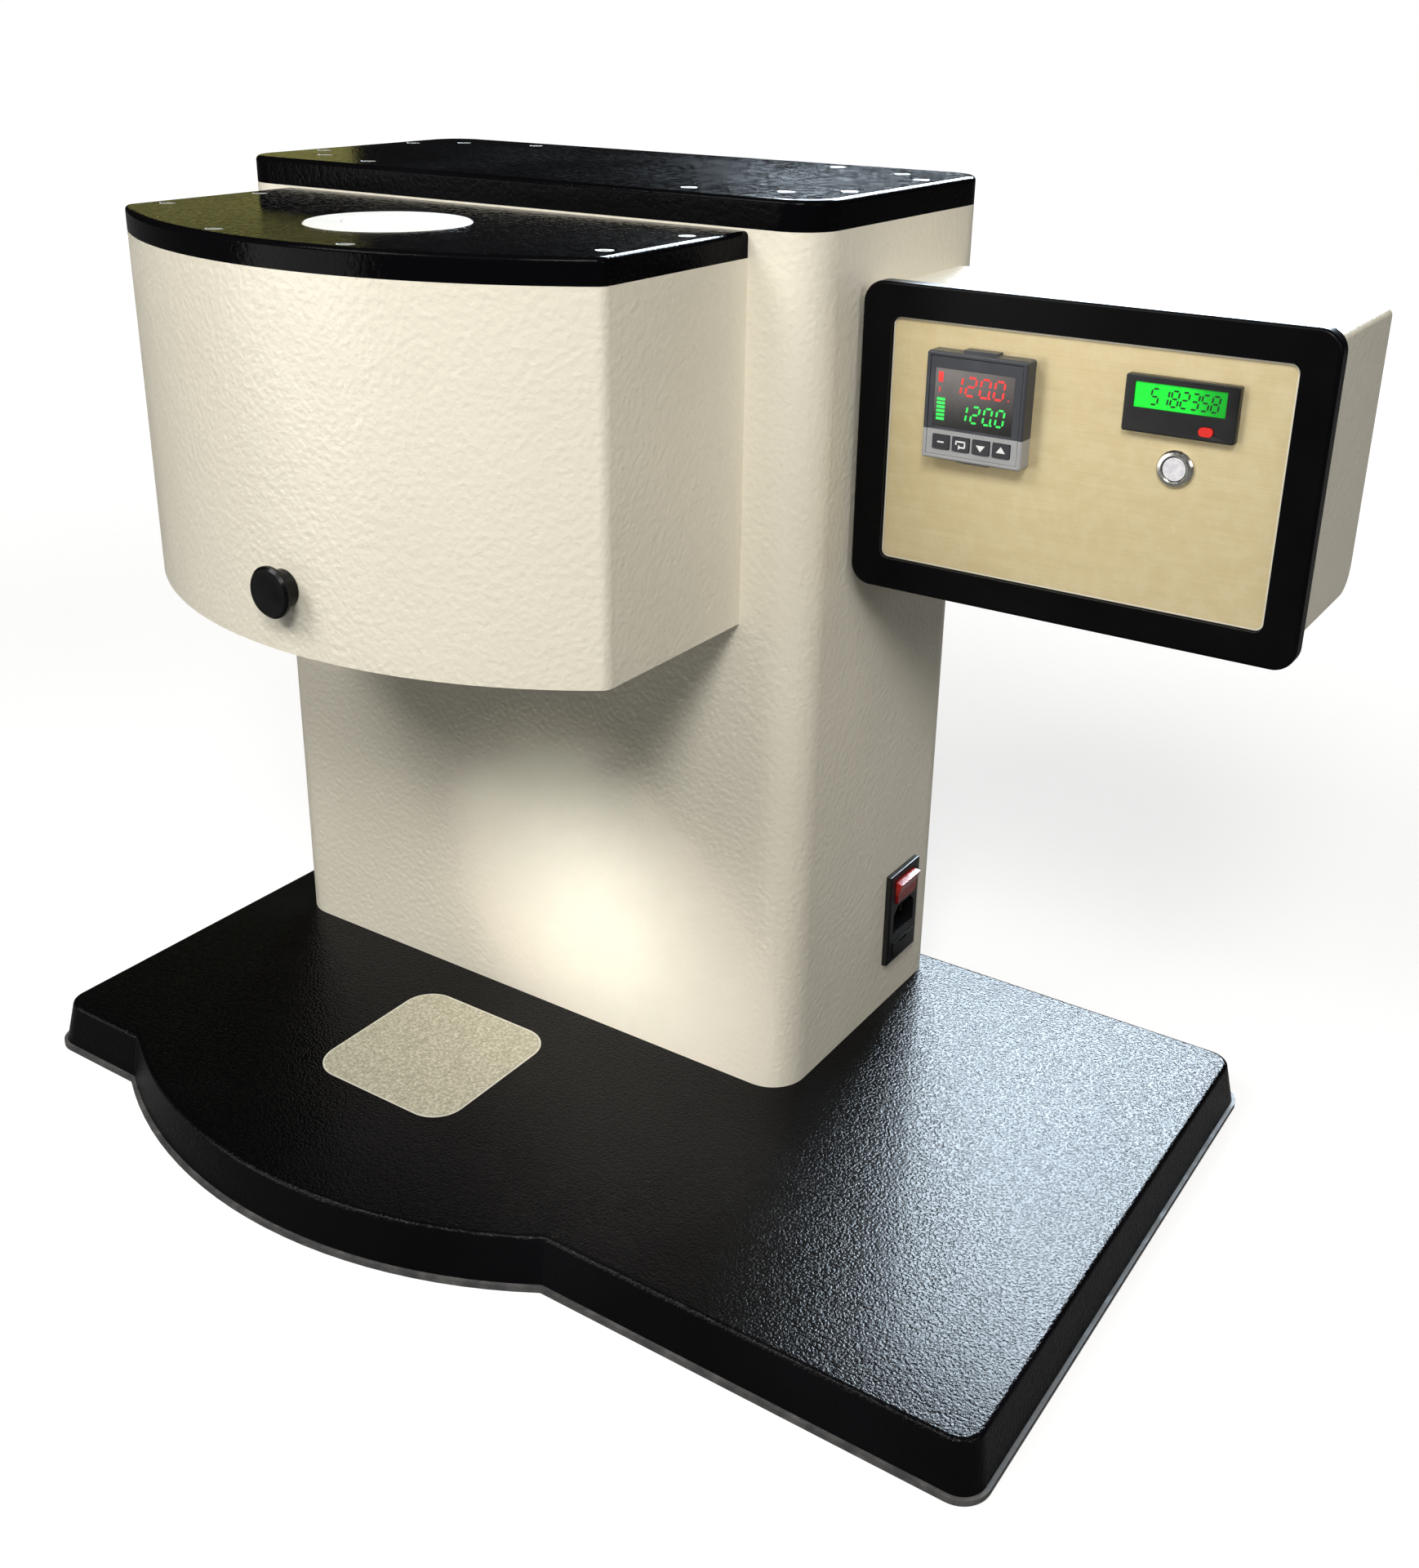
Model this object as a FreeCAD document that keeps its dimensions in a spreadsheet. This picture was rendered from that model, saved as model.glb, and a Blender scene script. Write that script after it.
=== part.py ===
import FreeCAD, Part
import math
import os
import Sketcher
from FreeCAD import Placement, Rotation, Vector

# Melt flow index tester: a black cast base, a pale sheet-metal column, a bow-fronted furnace head
# that reaches over the base, and a control box on the column's right side.
# The origin lies on the bench, straight below the furnace barrel. +Z is up, the head faces -Y.

SIZES = {
    # base
    "base_height": 27,
    "base_corner": 12,
    "base_edge": 2.5,
    "base_draft": 10,
    "base_lip": 2,
    "base_wall": 6,
    "base_roof": 6,
    "base_fillet": 2,
    "base_left": 28,
    "base_right": 183,
    "base_front": 157,
    "base_back": 1,
    "bow_reach": 41.5,
    "sole_thickness": 3,
    "sole_screw_front": 40,
    "sole_screw_middle": 20,
    "sole_screw_back": 30,
    "sole_screw_length": 12,
    "catch_side": 93,
    "catch_corner": 17,
    "catch_thickness": 3,
    # column
    "barrel_to_column": 75,
    "column_width": 355,
    "column_depth": 171,
    "column_height": 439.5,
    "column_corner": 20,
    "column_cover_height": 13.5,
    "sheet": 2,
    "cover_roof": 4,
    "cover_edge": 2.5,
    "cover_screw_length": 8,
    "side_screw_inset": 12.5,
    "side_screw_back": 50,
    "corner_screw_inset": 33.5,
    "corner_screw_back": 29.5,
    "row_screw_across": 200,
    "row_screw_back": 17,
    "foot_thickness": 4,
    "foot_bolt": 6,
    "foot_bolt_inset": 40,
    # rear panel
    "rear_flange": 16,
    "rear_thickness": 1.5,
    "rear_side_gap": 1,
    "rear_margin": 4,
    "rear_corner": 4,
    "rear_screw": 3,
    "rear_screw_length": 7,
    "rear_screw_lift": 2,
    "vent_width": 4,
    "vent_pitch": 9,
    "vent_rise": 70,
    "vent_drop": 110,
    # equipment inside the column
    "equipment_setback": 75,
    "equipment_height": 264,
    "equipment_margin": 25,
    "toe_depth": 20,
    "supply_margin": 10,
    "supply_width": 99,
    "supply_depth": 30,
    "supply_height": 82,
    "supply_rise": 30,
    "relay_left": 40,
    "relay_width": 45,
    "relay_depth": 22,
    "relay_height": 58,
    "relay_rise": 110,
    "sink_margin": 8,
    "sink_overlap": 6,
    "sink_plate": 6,
    "fin_depth": 16,
    "fin_thickness": 2,
    "fin_pitch": 9.833,
    "strip_width": 120,
    "strip_depth": 20,
    "strip_height": 22,
    "strip_rise": 210,
    "well_margin": 5,
    "well_pitch": 10,
    "well_width": 6,
    "well_height": 8,
    "well_depth": 12,
    # head
    "head_clearance": 256,
    "head_height": 171,
    "head_cover_height": 11.5,
    "head_width": 286,
    "head_side": 104.5,
    "head_nose": 48,
    "head_bend": 6,
    "head_flange": 14,
    "head_outlet": 50,
    "head_screw_inset": 12,
    "head_screw_front": 16,
    "head_screw_back": 30,
    "nose_screw_across": 78,
    "nose_screw_inset": 12,
    # furnace
    "bore": 9.55,
    "bore_mouth": 1.5,
    "barrel_diameter": 50,
    "barrel_length": 140.5,
    "flange_diameter": 72,
    "flange_thickness": 8,
    "die_length": 8,
    "die_bore": 2.095,
    "heater_thickness": 4,
    "heater_rise": 6,
    "heater_drop": 15,
    "heater_gap": 6,
    "jacket_diameter": 120,
    "jacket_gap": 2,
    "sensor_diameter": 4,
    "sensor_wall": 3.5,
    "sensor_gap": 0.5,
    "sensor_rise": 5.5,
    "sensor_reach": 20,
    "sensor_collar": 8,
    "ring_diameter": 75.5,
    "ring_proud": 0.3,
    "ring_edge": 0.8,
    "plug_diameter": 41,
    "plug_reach": 14,
    "plug_tip": 0.8,
    "plug_proud": 0.2,
    "plug_rim": 2,
    "plug_dish": 0.4,
    # die release
    "release_height": 31.5,
    "release_travel": 20,
    "slide_thickness": 6,
    "slide_width": 24,
    "slide_lip": 1,
    "slide_relief": 6,
    "guide_inset": 9,
    "rod_diameter": 8,
    "rod_thread": 4,
    "thread_length": 8,
    "rod_bush_wall": 3,
    "rod_bush_lip": 2,
    "rod_bush_rim": 1.5,
    "knob_diameter": 24,
    "knob_neck": 17.6,
    "knob_face": 3.5,
    "knob_proud": 10.5,
    "knob_gap": 0.4,
    "knob_flare": 1.5,
    "knob_back_edge": 0.8,
    "knob_edge": 1.2,
    # barrel bracket
    "bracket_width": 90,
    "bracket_thickness": 8,
    "bracket_rise": 80,
    "bracket_outlet": 24,
    "rib_width": 6,
    "rib_height": 18,
    "rib_setback": 10,
    "bracket_bolt": 8,
    "bracket_bolt_across": 60,
    "bracket_bolt_rise": 22,
    "bracket_bolt_pitch": 45,
    # control box
    "bezel_gap": 2.4,
    "bezel_setback": 40,
    "bezel_drop": 36,
    "bezel_width": 211,
    "bezel_height": 143,
    "bezel_depth": 8,
    "bezel_rim": 15,
    "bezel_corner": 10,
    "bezel_edge": 1.6,
    "opening_corner": 4,
    "panel_recess": 2,
    "panel_thickness": 1.5,
    "panel_lap": 4,
    "box_inset": 6.3,
    "box_depth": 101,
    "box_low_round": 14,
    "box_top_round": 3.5,
    "box_side_round": 2.5,
    "box_wall": 1.8,
    "box_screw": 4,
    "box_screw_length": 9,
    "box_screw_inset": 25,
    "box_screw_front": 20,
    "box_screw_back": 25,
    "cable_bore": 18,
    "cable_hole": 24,
    "cable_bush": 30,
    "cable_lip": 2,
    # temperature controller
    "instrument_side": 48,
    "instrument_drop": 26.5,
    "controller_across": 61,
    "controller_proud": 9,
    "controller_depth": 62,
    "controller_corner": 1.5,
    "controller_edge": 1,
    "controller_rim": 2,
    "face_depth": 1.5,
    "face_setback": 0.3,
    "window_left": 4.5,
    "window_right": 5.5,
    "window_drop": 7.2,
    "window_height": 26.1,
    "window_setback": 0.4,
    "tab_width": 16,
    "tab_height": 1.4,
    "tab_setback": 3,
    "cutout": 45,
    "clamp_rim": 4,
    "clamp_depth": 8,
    "key_width": 8.2,
    "key_height": 6.2,
    "key_corner": 0.8,
    "key_pitch": 9.7,
    "key_rise": 8,
    "key_proud": 0.4,
    "key_depth": 3.9,
    "key_well": 5,
    # counter
    "counter_across": 150.5,
    "counter_height": 24,
    "counter_proud": 4,
    "counter_depth": 40,
    "counter_corner": 1,
    "counter_edge": 0.6,
    "counter_cutout": 22.2,
    "counter_body": 44.6,
    "display_left": 4.2,
    "display_right": 5,
    "display_drop": 2.8,
    "display_height": 10.8,
    "display_depth": 2,
    "display_setback": 0.5,
    "reset_inset": 12,
    "reset_rise": 4,
    "reset_width": 6,
    "reset_height": 3.8,
    "reset_corner": 1.8,
    "reset_proud": 0.8,
    "reset_depth": 1.8,
    "reset_well": 3,
    # start button
    "button_drop": 64.5,
    "button_flange": 16,
    "button_step": 1,
    "button_rim": 2.2,
    "button_edge": 0.8,
    "button_chamfer": 0.5,
    "button_shank": 12,
    "button_length": 17,
    "button_tail": 8,
    "button_well": 4,
    "button_cap": 10.6,
    "button_proud": 1.8,
    "cap_edge": 0.4,
    "nut_across": 18,
    "nut_thickness": 3,
    # mains inlet
    "inlet_setback": 121.5,
    "inlet_rise": 55.5,
    "inlet_width": 33.5,
    "inlet_height": 56,
    "inlet_proud": 3.6,
    "inlet_edge": 1.2,
    "inlet_body": 27,
    "inlet_shoulder": 3,
    "inlet_depth": 30,
    "rocker_drop": 11,
    "rocker_width": 22,
    "rocker_height": 12.6,
    "rocker_tilt": 10,
    "rocker_swing": 1.1,
    "rocker_well": 13,
    "rocker_depth": 2.5,
    "rocker_reach": 5.2,
    "rocker_valley": 4.2,
    "rocker_waist": 8,
    "rocker_back": 6,
    "trunnion_diameter": 2,
    "trunnion_length": 1,
    "socket_drop": 10,
    "socket_height": 16.5,
    "socket_width": 24,
    "socket_chamfer": 4.5,
    "socket_depth": 18,
    "pin_thickness": 2,
    "pin_height": 4,
    "pin_setback": 5.2,
    "pin_spread": 7,
    "pin_drop": 1,
    "earth_rise": 3.5,
    "drawer_width": 23.4,
    "drawer_height": 9,
    "drawer_rise": 3.8,
    "drawer_depth": 22,
    "drawer_proud": 0.6,
    "drawer_floor": 2,
    "notch_width": 8,
    "notch_height": 1.4,
    "notch_depth": 1.2,
    "notch_drop": 1,
    "fuse_diameter": 5,
    "fuse_length": 20,
    "fuse_setback": 8,
    # shared
    "screw_head": 8,
    "screw_shank": 4,
    "fit": 0.2,
    "running": 0.08,
    "play": 0.3,
    "margin": 1,
}


class Size:
    """A number together with the sheet formula that gives it."""

    def __init__(self, value, text):
        self.value = value
        self.text = text

    def join(self, other, sign, value):
        return Size(value, f"({self.text} {sign} {other.text})")

    def __add__(self, other):
        other = as_size(other)
        return self.join(other, "+", self.value + other.value)

    def __sub__(self, other):
        other = as_size(other)
        return self.join(other, "-", self.value - other.value)

    def __mul__(self, other):
        other = as_size(other)
        return self.join(other, "*", self.value * other.value)

    def __truediv__(self, other):
        other = as_size(other)
        return self.join(other, "/", self.value / other.value)

    def __radd__(self, other):
        return as_size(other) + self

    def __rsub__(self, other):
        return as_size(other) - self

    def __rmul__(self, other):
        return as_size(other) * self

    def __neg__(self):
        return Size(-self.value, f"(0 - {self.text})")


def as_size(number):
    return number if isinstance(number, Size) else Size(number, repr(number))


def root(size):
    return Size(math.sqrt(size.value), f"sqrt({size.text})")


doc = FreeCAD.newDocument("melt_flow_tester")
sheet = doc.addObject("Spreadsheet::Sheet", "sizes")


def fill_sheet():
    for row, (name, number) in enumerate(SIZES.items(), start=1):
        sheet.set(f"A{row}", name)
        sheet.set(f"B{row}", str(number))
        sheet.setAlias(f"B{row}", name)
    doc.recompute()


class Named:
    """Gives each driving size by its name: S.column_width."""

    def __getattr__(self, name):
        return Size(SIZES[name], f"sizes.{name}")


S = Named()
fill_sheet()


def bind(thing, prop, size):
    thing.setExpression(prop, as_size(size).text)


# Drawing helpers

class Drawing:
    """Curves of one sketch, tied to the sheet by their constraints."""

    def __init__(self, sketch):
        self.sketch = sketch

    def curve(self, shape):
        return self.sketch.addGeometry(shape, False)

    def rule(self, kind, *where, size=None):
        if size is None:
            return self.sketch.addConstraint(Sketcher.Constraint(kind, *where))
        size = as_size(size)
        index = self.sketch.addConstraint(Sketcher.Constraint(kind, *where, size.value))
        self.sketch.setExpression(f"Constraints[{index}]", size.text)
        return index

    def place(self, curve, point, across=None, up=None):
        if across is not None:
            self.rule("DistanceX", -1, 1, curve, point, size=across)
        if up is not None:
            self.rule("DistanceY", -1, 1, curve, point, size=up)

    def line(self, start, end):
        a = Vector(as_size(start[0]).value, as_size(start[1]).value)
        b = Vector(as_size(end[0]).value, as_size(end[1]).value)
        return self.curve(Part.LineSegment(a, b))

    def circle(self, across, up, radius):
        across, up, radius = as_size(across), as_size(up), as_size(radius)
        centre = Vector(across.value, up.value)
        ring = self.curve(Part.Circle(centre, Vector(0, 0, 1), radius.value))
        self.place(ring, 3, across, up)
        self.rule("Radius", ring, size=radius)

    def polygon(self, corners):
        lines = [
            self.line(corner, corners[(i + 1) % len(corners)])
            for i, corner in enumerate(corners)
        ]
        for i, line in enumerate(lines):
            self.rule("Coincident", line, 2, lines[(i + 1) % len(lines)], 1)
            self.place(line, 1, *corners[i])

    def rectangle(self, left, right, low, high, radius=None):
        if radius is None:
            self.polygon([(left, low), (right, low), (right, high), (left, high)])
            return
        left, right, low, high = (as_size(side) for side in (left, right, low, high))
        r = radius.value
        bottom = self.line((left.value + r, low), (right.value - r, low))
        side = self.line((right, low.value + r), (right, high.value - r))
        top = self.line((right.value - r, high), (left.value + r, high))
        back = self.line((left, high.value - r), (left, low.value + r))
        centres = [
            (right.value - r, low.value + r, -90),
            (right.value - r, high.value - r, 0),
            (left.value + r, high.value - r, 90),
            (left.value + r, low.value + r, 180),
        ]
        sides = [bottom, side, top, back]
        for i, (x, y, turn) in enumerate(centres):
            circle = Part.Circle(Vector(x, y), Vector(0, 0, 1), r)
            start = math.radians(turn)
            corner = self.curve(Part.ArcOfCircle(circle, start, start + math.pi / 2))
            self.rule("Tangent", sides[i], 2, corner, 1)
            self.rule("Tangent", corner, 2, sides[(i + 1) % 4], 1)
            self.rule("Radius", corner, size=radius)
        for line in (bottom, top):
            self.rule("Horizontal", line)
        for line in (side, back):
            self.rule("Vertical", line)
        self.place(bottom, 1, up=low)
        self.place(side, 1, across=right)
        self.place(top, 1, up=high)
        self.place(back, 1, across=left)

    def bow_front(self, half, front, radius, corners):
        """An arc bowed towards the front between two points, then the corners counter-clockwise."""
        half, front, radius = as_size(half), as_size(front), as_size(radius)
        rise = math.sqrt(radius.value ** 2 - half.value ** 2)
        centre = Vector(0, front.value + rise)
        lean = math.asin(half.value / radius.value)
        circle = Part.Circle(centre, Vector(0, 0, 1), radius.value)
        down = -math.pi / 2
        arc = self.curve(Part.ArcOfCircle(circle, down - lean, down + lean))
        self.rule("Radius", arc, size=radius)
        points = [(half, front), *corners, (-half, front)]
        lines = [self.line(points[i], points[i + 1]) for i in range(len(points) - 1)]
        self.rule("Coincident", arc, 2, lines[0], 1)
        for i, line in enumerate(lines):
            self.place(line, 1, *points[i])
            if i:
                self.rule("Coincident", lines[i - 1], 2, line, 1)
        self.place(lines[-1], 2, *points[-1])
        self.rule("Coincident", lines[-1], 2, arc, 1)


PLANES = {"XY": "XY_Plane", "XZ": "XZ_Plane", "YZ": "YZ_Plane"}


def new_body(label):
    body = doc.addObject("PartDesign::Body", label)
    body.Label = label
    return body


def sketch_on(body, plane, offset, draw):
    sketch = body.newObject("Sketcher::SketchObject", f"{body.Name}_sketch")
    base = [f for f in body.Origin.OriginFeatures if f.Role == PLANES[plane]][0]
    sketch.AttachmentSupport = [(base, "")]
    sketch.MapMode = "FlatFace"
    bind(sketch, "AttachmentOffset.Base.z", offset)
    draw(Drawing(sketch))
    return sketch


def pad(body, plane, start, end, draw, taper=None):
    """Fills the outline between two places along the plane's own axis."""
    start, end = as_size(start), as_size(end)
    offset = -end if plane == "XZ" else start
    feature = body.newObject("PartDesign::Pad", f"{body.Name}_pad")
    feature.Profile = sketch_on(body, plane, offset, draw)
    bind(feature, "Length", end - start)
    if taper is not None:
        bind(feature, "TaperAngle", taper)
    return feature


def pocket(body, plane, start, end, draw):
    """Cuts the outline out between two places along the plane's own axis."""
    start, end = as_size(start), as_size(end)
    offset = -start if plane == "XZ" else end
    feature = body.newObject("PartDesign::Pocket", f"{body.Name}_pocket")
    feature.Profile = sketch_on(body, plane, offset, draw)
    bind(feature, "Length", end - start)
    return feature


def turned(body, corners):
    """Turns an outline of (radius, height) corners about the body's own Z axis."""
    feature = body.newObject("PartDesign::Revolution", f"{body.Name}_turned")
    feature.Profile = sketch_on(body, "XZ", 0, lambda d: d.polygon(corners))
    feature.ReferenceAxis = (feature.Profile[0], ["V_Axis"])
    feature.Angle = 360
    return feature


def edges_where(feature, test):
    doc.recompute()
    return [f"Edge{i + 1}" for i, edge in enumerate(feature.Shape.Edges) if test(edge)]


def round_edges(body, radius, test):
    base = body.Tip
    names = edges_where(base, test)
    feature = body.newObject("PartDesign::Fillet", f"{body.Name}_round")
    feature.Base = (base, names)
    bind(feature, "Radius", radius)
    doc.recompute()
    return feature


def upright(edge):
    box = edge.BoundBox
    return box.ZLength > 1 and box.ZLength > 3 * max(box.XLength, box.YLength)


def level_at(height):
    place = height.value
    return lambda edge: abs(edge.BoundBox.ZMin - place) < 1e-4 and abs(edge.BoundBox.ZMax - place) < 1e-4


# Primitive helpers

def named(thing, label):
    thing.Label = label
    return thing


def block(label, x, y, z):
    box = doc.addObject("Part::Box", label)
    for prop, span in (("Length", x), ("Width", y), ("Height", z)):
        bind(box, prop, as_size(span[1]) - as_size(span[0]))
    for axis, span in (("x", x), ("y", y), ("z", z)):
        bind(box, f"Placement.Base.{axis}", span[0])
    return named(box, label)


TURNS = {
    "Z": Rotation(),
    "-Z": Rotation(Vector(1, 0, 0), 180),
    "X": Rotation(Vector(0, 1, 0), 90),
    "-X": Rotation(Vector(0, 1, 0), -90),
    "Y": Rotation(Vector(1, 0, 0), -90),
    "-Y": Rotation(Vector(1, 0, 0), 90),
}


def settle(thing, place, way):
    thing.Placement = Placement(Vector(), TURNS[way])
    for axis, size in zip("xyz", place):
        bind(thing, f"Placement.Base.{axis}", size)


def rod(label, place, radius, length, way="Z"):
    cylinder = doc.addObject("Part::Cylinder", label)
    bind(cylinder, "Radius", radius)
    bind(cylinder, "Height", length)
    settle(cylinder, place, way)
    return named(cylinder, label)


def cone(label, place, radius_start, radius_end, length, way="Z"):
    frustum = doc.addObject("Part::Cone", label)
    bind(frustum, "Radius1", radius_start)
    bind(frustum, "Radius2", radius_end)
    bind(frustum, "Height", length)
    settle(frustum, place, way)
    return named(frustum, label)


def fuse(label, *pieces):
    joined = doc.addObject("Part::MultiFuse", label)
    joined.Shapes = list(pieces)
    joined.Refine = True
    return named(joined, label)


def group(label, pieces):
    bundle = doc.addObject("Part::Compound", label)
    bundle.Links = list(pieces)
    return named(bundle, label)


def cut(label, base, *tools):
    rest = doc.addObject("Part::Cut", label)
    rest.Base = base
    rest.Tool = tools[0] if len(tools) == 1 else group(f"{label}_tools", tools)
    rest.Refine = True
    return named(rest, label)


def shift(place, way, distance):
    """The place moved along one of the six ways."""
    sign = -1 if way.startswith("-") else 1
    index = "XYZ".index(way[-1])
    moved = list(place)
    moved[index] = as_size(moved[index]) + sign * as_size(distance)
    return moved


def flush_screws(label, places, way, length, slack=0):
    """Countersunk screws whose head tops lie at the places and whose shanks run along way."""
    screws = []
    for place in places:
        head = cone(f"{label}_head", place, S.screw_head / 2 + slack, S.screw_shank / 2 + slack,
                    S.screw_shank / 2, way)
        shank = rod(f"{label}_shank", shift(place, way, S.screw_shank / 2), S.screw_shank / 2 + slack,
                    length, way)
        screws.append(fuse(f"{label}_one", head, shank))
    return group(label, screws)


CAP_RATIO = 1.7


def cap_screws(label, places, way, length, radius):
    """Round-headed screws whose heads stand on the places and whose shanks run along way."""
    screws = []
    for place in places:
        head = rod(f"{label}_head", shift(place, way, -radius), radius * CAP_RATIO, radius, way)
        shank = rod(f"{label}_shank", place, radius, length, way)
        screws.append(fuse(f"{label}_one", head, shank))
    return group(label, screws)


def holes(label, places, way, length, radius):
    """Plain drills that start a margin before the places."""
    return group(label, [
        rod(f"{label}_drill", shift(place, way, -S.margin), radius, length + S.margin, way)
        for place in places
    ])


# Places that several pieces share

half_column = S.column_width / 2
column_front = S.barrel_to_column
column_back = column_front + S.column_depth
column_top = S.base_height + S.column_height
half_head = S.head_width / 2
head_low = S.base_height + S.head_clearance
head_high = head_low + S.head_height
head_top = head_high + S.head_cover_height
head_corner = column_front - S.head_side
head_nose = head_corner - S.head_nose
head_radius = (half_head * half_head + S.head_nose * S.head_nose) / (2 * S.head_nose)
base_front = column_front - S.base_front
bow_radius = (half_head * half_head + S.bow_reach * S.bow_reach) / (2 * S.bow_reach)
draft_run = (S.base_height - S.sole_thickness) * Size(
    math.tan(math.radians(SIZES["base_draft"])), "tan(sizes.base_draft * 1deg)")
release_level = head_low + S.release_height
guide_low = release_level - S.slide_thickness / 2
flange_low = guide_low + S.slide_thickness + S.fit
slide_front = -S.flange_diameter / 2 - S.slide_lip
barrel_top = flange_low + S.barrel_length
barrel_radius = S.barrel_diameter / 2
sensor_level = flange_low + S.flange_thickness + S.sensor_rise
heater_low = sensor_level + S.heater_rise
heater_high = barrel_top - S.heater_drop
heater_radius = barrel_radius + S.fit + S.heater_thickness
jacket_top = head_high - S.jacket_gap
ring_top = head_top + S.ring_proud
bezel_left = half_column + S.bezel_gap
bezel_right = bezel_left + S.bezel_width
bezel_high = column_top + S.column_cover_height - S.bezel_drop
bezel_low = bezel_high - S.bezel_height
bezel_front = column_front + S.bezel_setback
bezel_back = bezel_front + S.bezel_depth
panel_front = bezel_front + S.panel_recess
panel_back = panel_front + S.panel_thickness
box_right = bezel_right - S.box_inset
box_back = bezel_back + S.box_depth
instrument_top = bezel_high - S.instrument_drop
controller_x = bezel_left + S.controller_across
controller_z = instrument_top - S.instrument_side / 2
controller_front = panel_front - S.controller_proud
controller_body = S.cutout / 2 - S.fit
counter_x = bezel_left + S.counter_across
counter_z = instrument_top - S.counter_height / 2
button_z = bezel_high - S.button_drop
inlet_y = column_front + S.inlet_setback
inlet_z = S.base_height + S.inlet_rise
inlet_face = half_column + S.inlet_proud
equipment_front = column_front + S.equipment_setback
equipment_low = S.base_height + S.foot_thickness
half_plate = half_column - S.equipment_margin


def base_outline(drawing, spread):
    """The base's plan, grown by spread, with its bow concentric at every size."""
    front = base_front - spread
    to_centre = root(bow_radius * bow_radius - half_head * half_head) + spread
    radius = bow_radius + spread
    half = root(radius * radius - to_centre * to_centre)
    left = -half_column - S.base_left - spread
    right = half_column + S.base_right + spread
    back = column_back + S.base_back + spread
    corners = [(right, front), (right, back), (left, back), (left, front)]
    drawing.bow_front(half, front, radius, corners)


def head_outline(drawing, inward, back):
    """The head's plan, shrunk by inward, closed by a straight line at back."""
    radius = head_radius - inward
    half = half_head - inward
    to_centre = root(radius * radius - half * half)
    centre = head_corner + root(head_radius * head_radius - half_head * half_head)
    drawing.bow_front(half, centre - to_centre, radius, [(half, back), (-half, back)])


def column_outline(drawing, inward):
    half = half_column - inward
    low, high = column_front + inward, column_back - inward
    drawing.rectangle(-half, half, low, high, S.column_corner - inward)


# Base

def leaning(edge):
    """The edges that climb the base's drafted sides."""
    return edge.BoundBox.ZLength > S.base_height.value / 2


def outside_bow(edge):
    return abs(edge.CenterOfMass.x) > half_column.value


def base_casting():
    body = new_body("base_body")
    pad(body, "XY", S.sole_thickness, S.base_height, lambda d: base_outline(d, draft_run), -S.base_draft)
    round_edges(body, S.base_corner, lambda e: leaning(e) and outside_bow(e))
    round_edges(body, S.base_fillet, lambda e: leaning(e) and not outside_bow(e))
    round_edges(body, S.base_edge, level_at(S.base_height))
    left, right = -half_column - S.base_left + S.base_wall, half_column + S.base_right - S.base_wall
    cells = 4
    pitch = (right - left + S.base_wall) / cells

    def hollows(drawing):
        for i in range(cells):
            start = left + i * pitch
            drawing.rectangle(start, start + pitch - S.base_wall, base_front + S.base_wall,
                              column_back - S.base_wall)

    pocket(body, "XY", S.sole_thickness, S.base_height - S.base_roof, hollows)
    half = S.catch_side / 2 + S.fit
    pocket(body, "XY", S.base_height - S.catch_thickness, S.base_height,
           lambda d: d.rectangle(-half, half, -half, half, S.catch_corner + S.fit))
    drills = holes("foot_drills", foot_bolt_places(), "-Z", S.foot_thickness + S.base_roof,
                   S.foot_bolt / 2 + S.fit)
    sole_drills = holes("sole_drills", sole_screw_places(), "Z", S.sole_screw_length + S.screw_shank,
                        S.screw_shank / 2 + S.running)
    return cut("base_casting", body, drills, sole_drills)


def foot_bolt_places():
    x = half_column - S.foot_bolt_inset
    rows = (column_front + S.foot_bolt_inset, column_back - S.foot_bolt_inset)
    level = S.base_height + S.foot_thickness
    return [(side * x, y, level) for side in (-1, 1) for y in rows]


def sole_screw_places():
    xs = (-half_column - S.base_left + S.base_wall / 2, half_column + S.base_right - S.base_wall / 2)
    ys = (base_front + S.sole_screw_front, column_front + S.sole_screw_middle,
          column_back - S.sole_screw_back)
    return [(x, y, as_size(0)) for x in xs for y in ys]


def sole_plate():
    body = new_body("sole_body")
    pad(body, "XY", 0, S.sole_thickness, lambda d: base_outline(d, draft_run + S.base_lip))
    round_edges(body, S.base_corner + S.base_lip, lambda e: upright(e) and outside_bow(e))
    round_edges(body, S.base_fillet, lambda e: upright(e) and not outside_bow(e))
    seats = flush_screws("sole_seats", sole_screw_places(), "Z", S.sole_thickness + S.margin, S.running)
    cut("sole_plate", body, seats)
    flush_screws("sole_screws", sole_screw_places(), "Z", S.sole_screw_length)


def catch_plate():
    body = new_body("catch_plate")
    half = S.catch_side / 2
    pad(body, "XY", S.base_height - S.catch_thickness, S.base_height,
        lambda d: d.rectangle(-half, half, -half, half, S.catch_corner))


# Column

def cover_screw_places():
    """Pairs across each corner of the column's top, and two more front and back."""
    level = column_top + S.column_cover_height
    side, corner = half_column - S.side_screw_inset, half_column - S.corner_screw_inset
    row = S.row_screw_across / 2
    places = []
    for sx in (-1, 1):
        for edge, sy in ((column_front, 1), (column_back, -1)):
            places.append((sx * corner, edge + sy * S.corner_screw_back, level))
            places.append((sx * side, edge + sy * S.side_screw_back, level))
            places.append((sx * row, edge + sy * S.row_screw_back, level))
    return places


def column_cover():
    body = new_body("column_cover_body")
    top = column_top + S.column_cover_height
    pad(body, "XY", column_top, top, lambda d: column_outline(d, as_size(0)))
    round_edges(body, S.cover_edge, level_at(top))
    pocket(body, "XY", column_top, top - S.cover_roof, lambda d: column_outline(d, S.sheet * 2))
    seats = flush_screws("column_cover_seats", cover_screw_places(), "-Z", S.cover_roof, S.running)
    cut("column_cover", body, seats)
    flush_screws("column_cover_screws", cover_screw_places(), "-Z", S.cover_screw_length)


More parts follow.
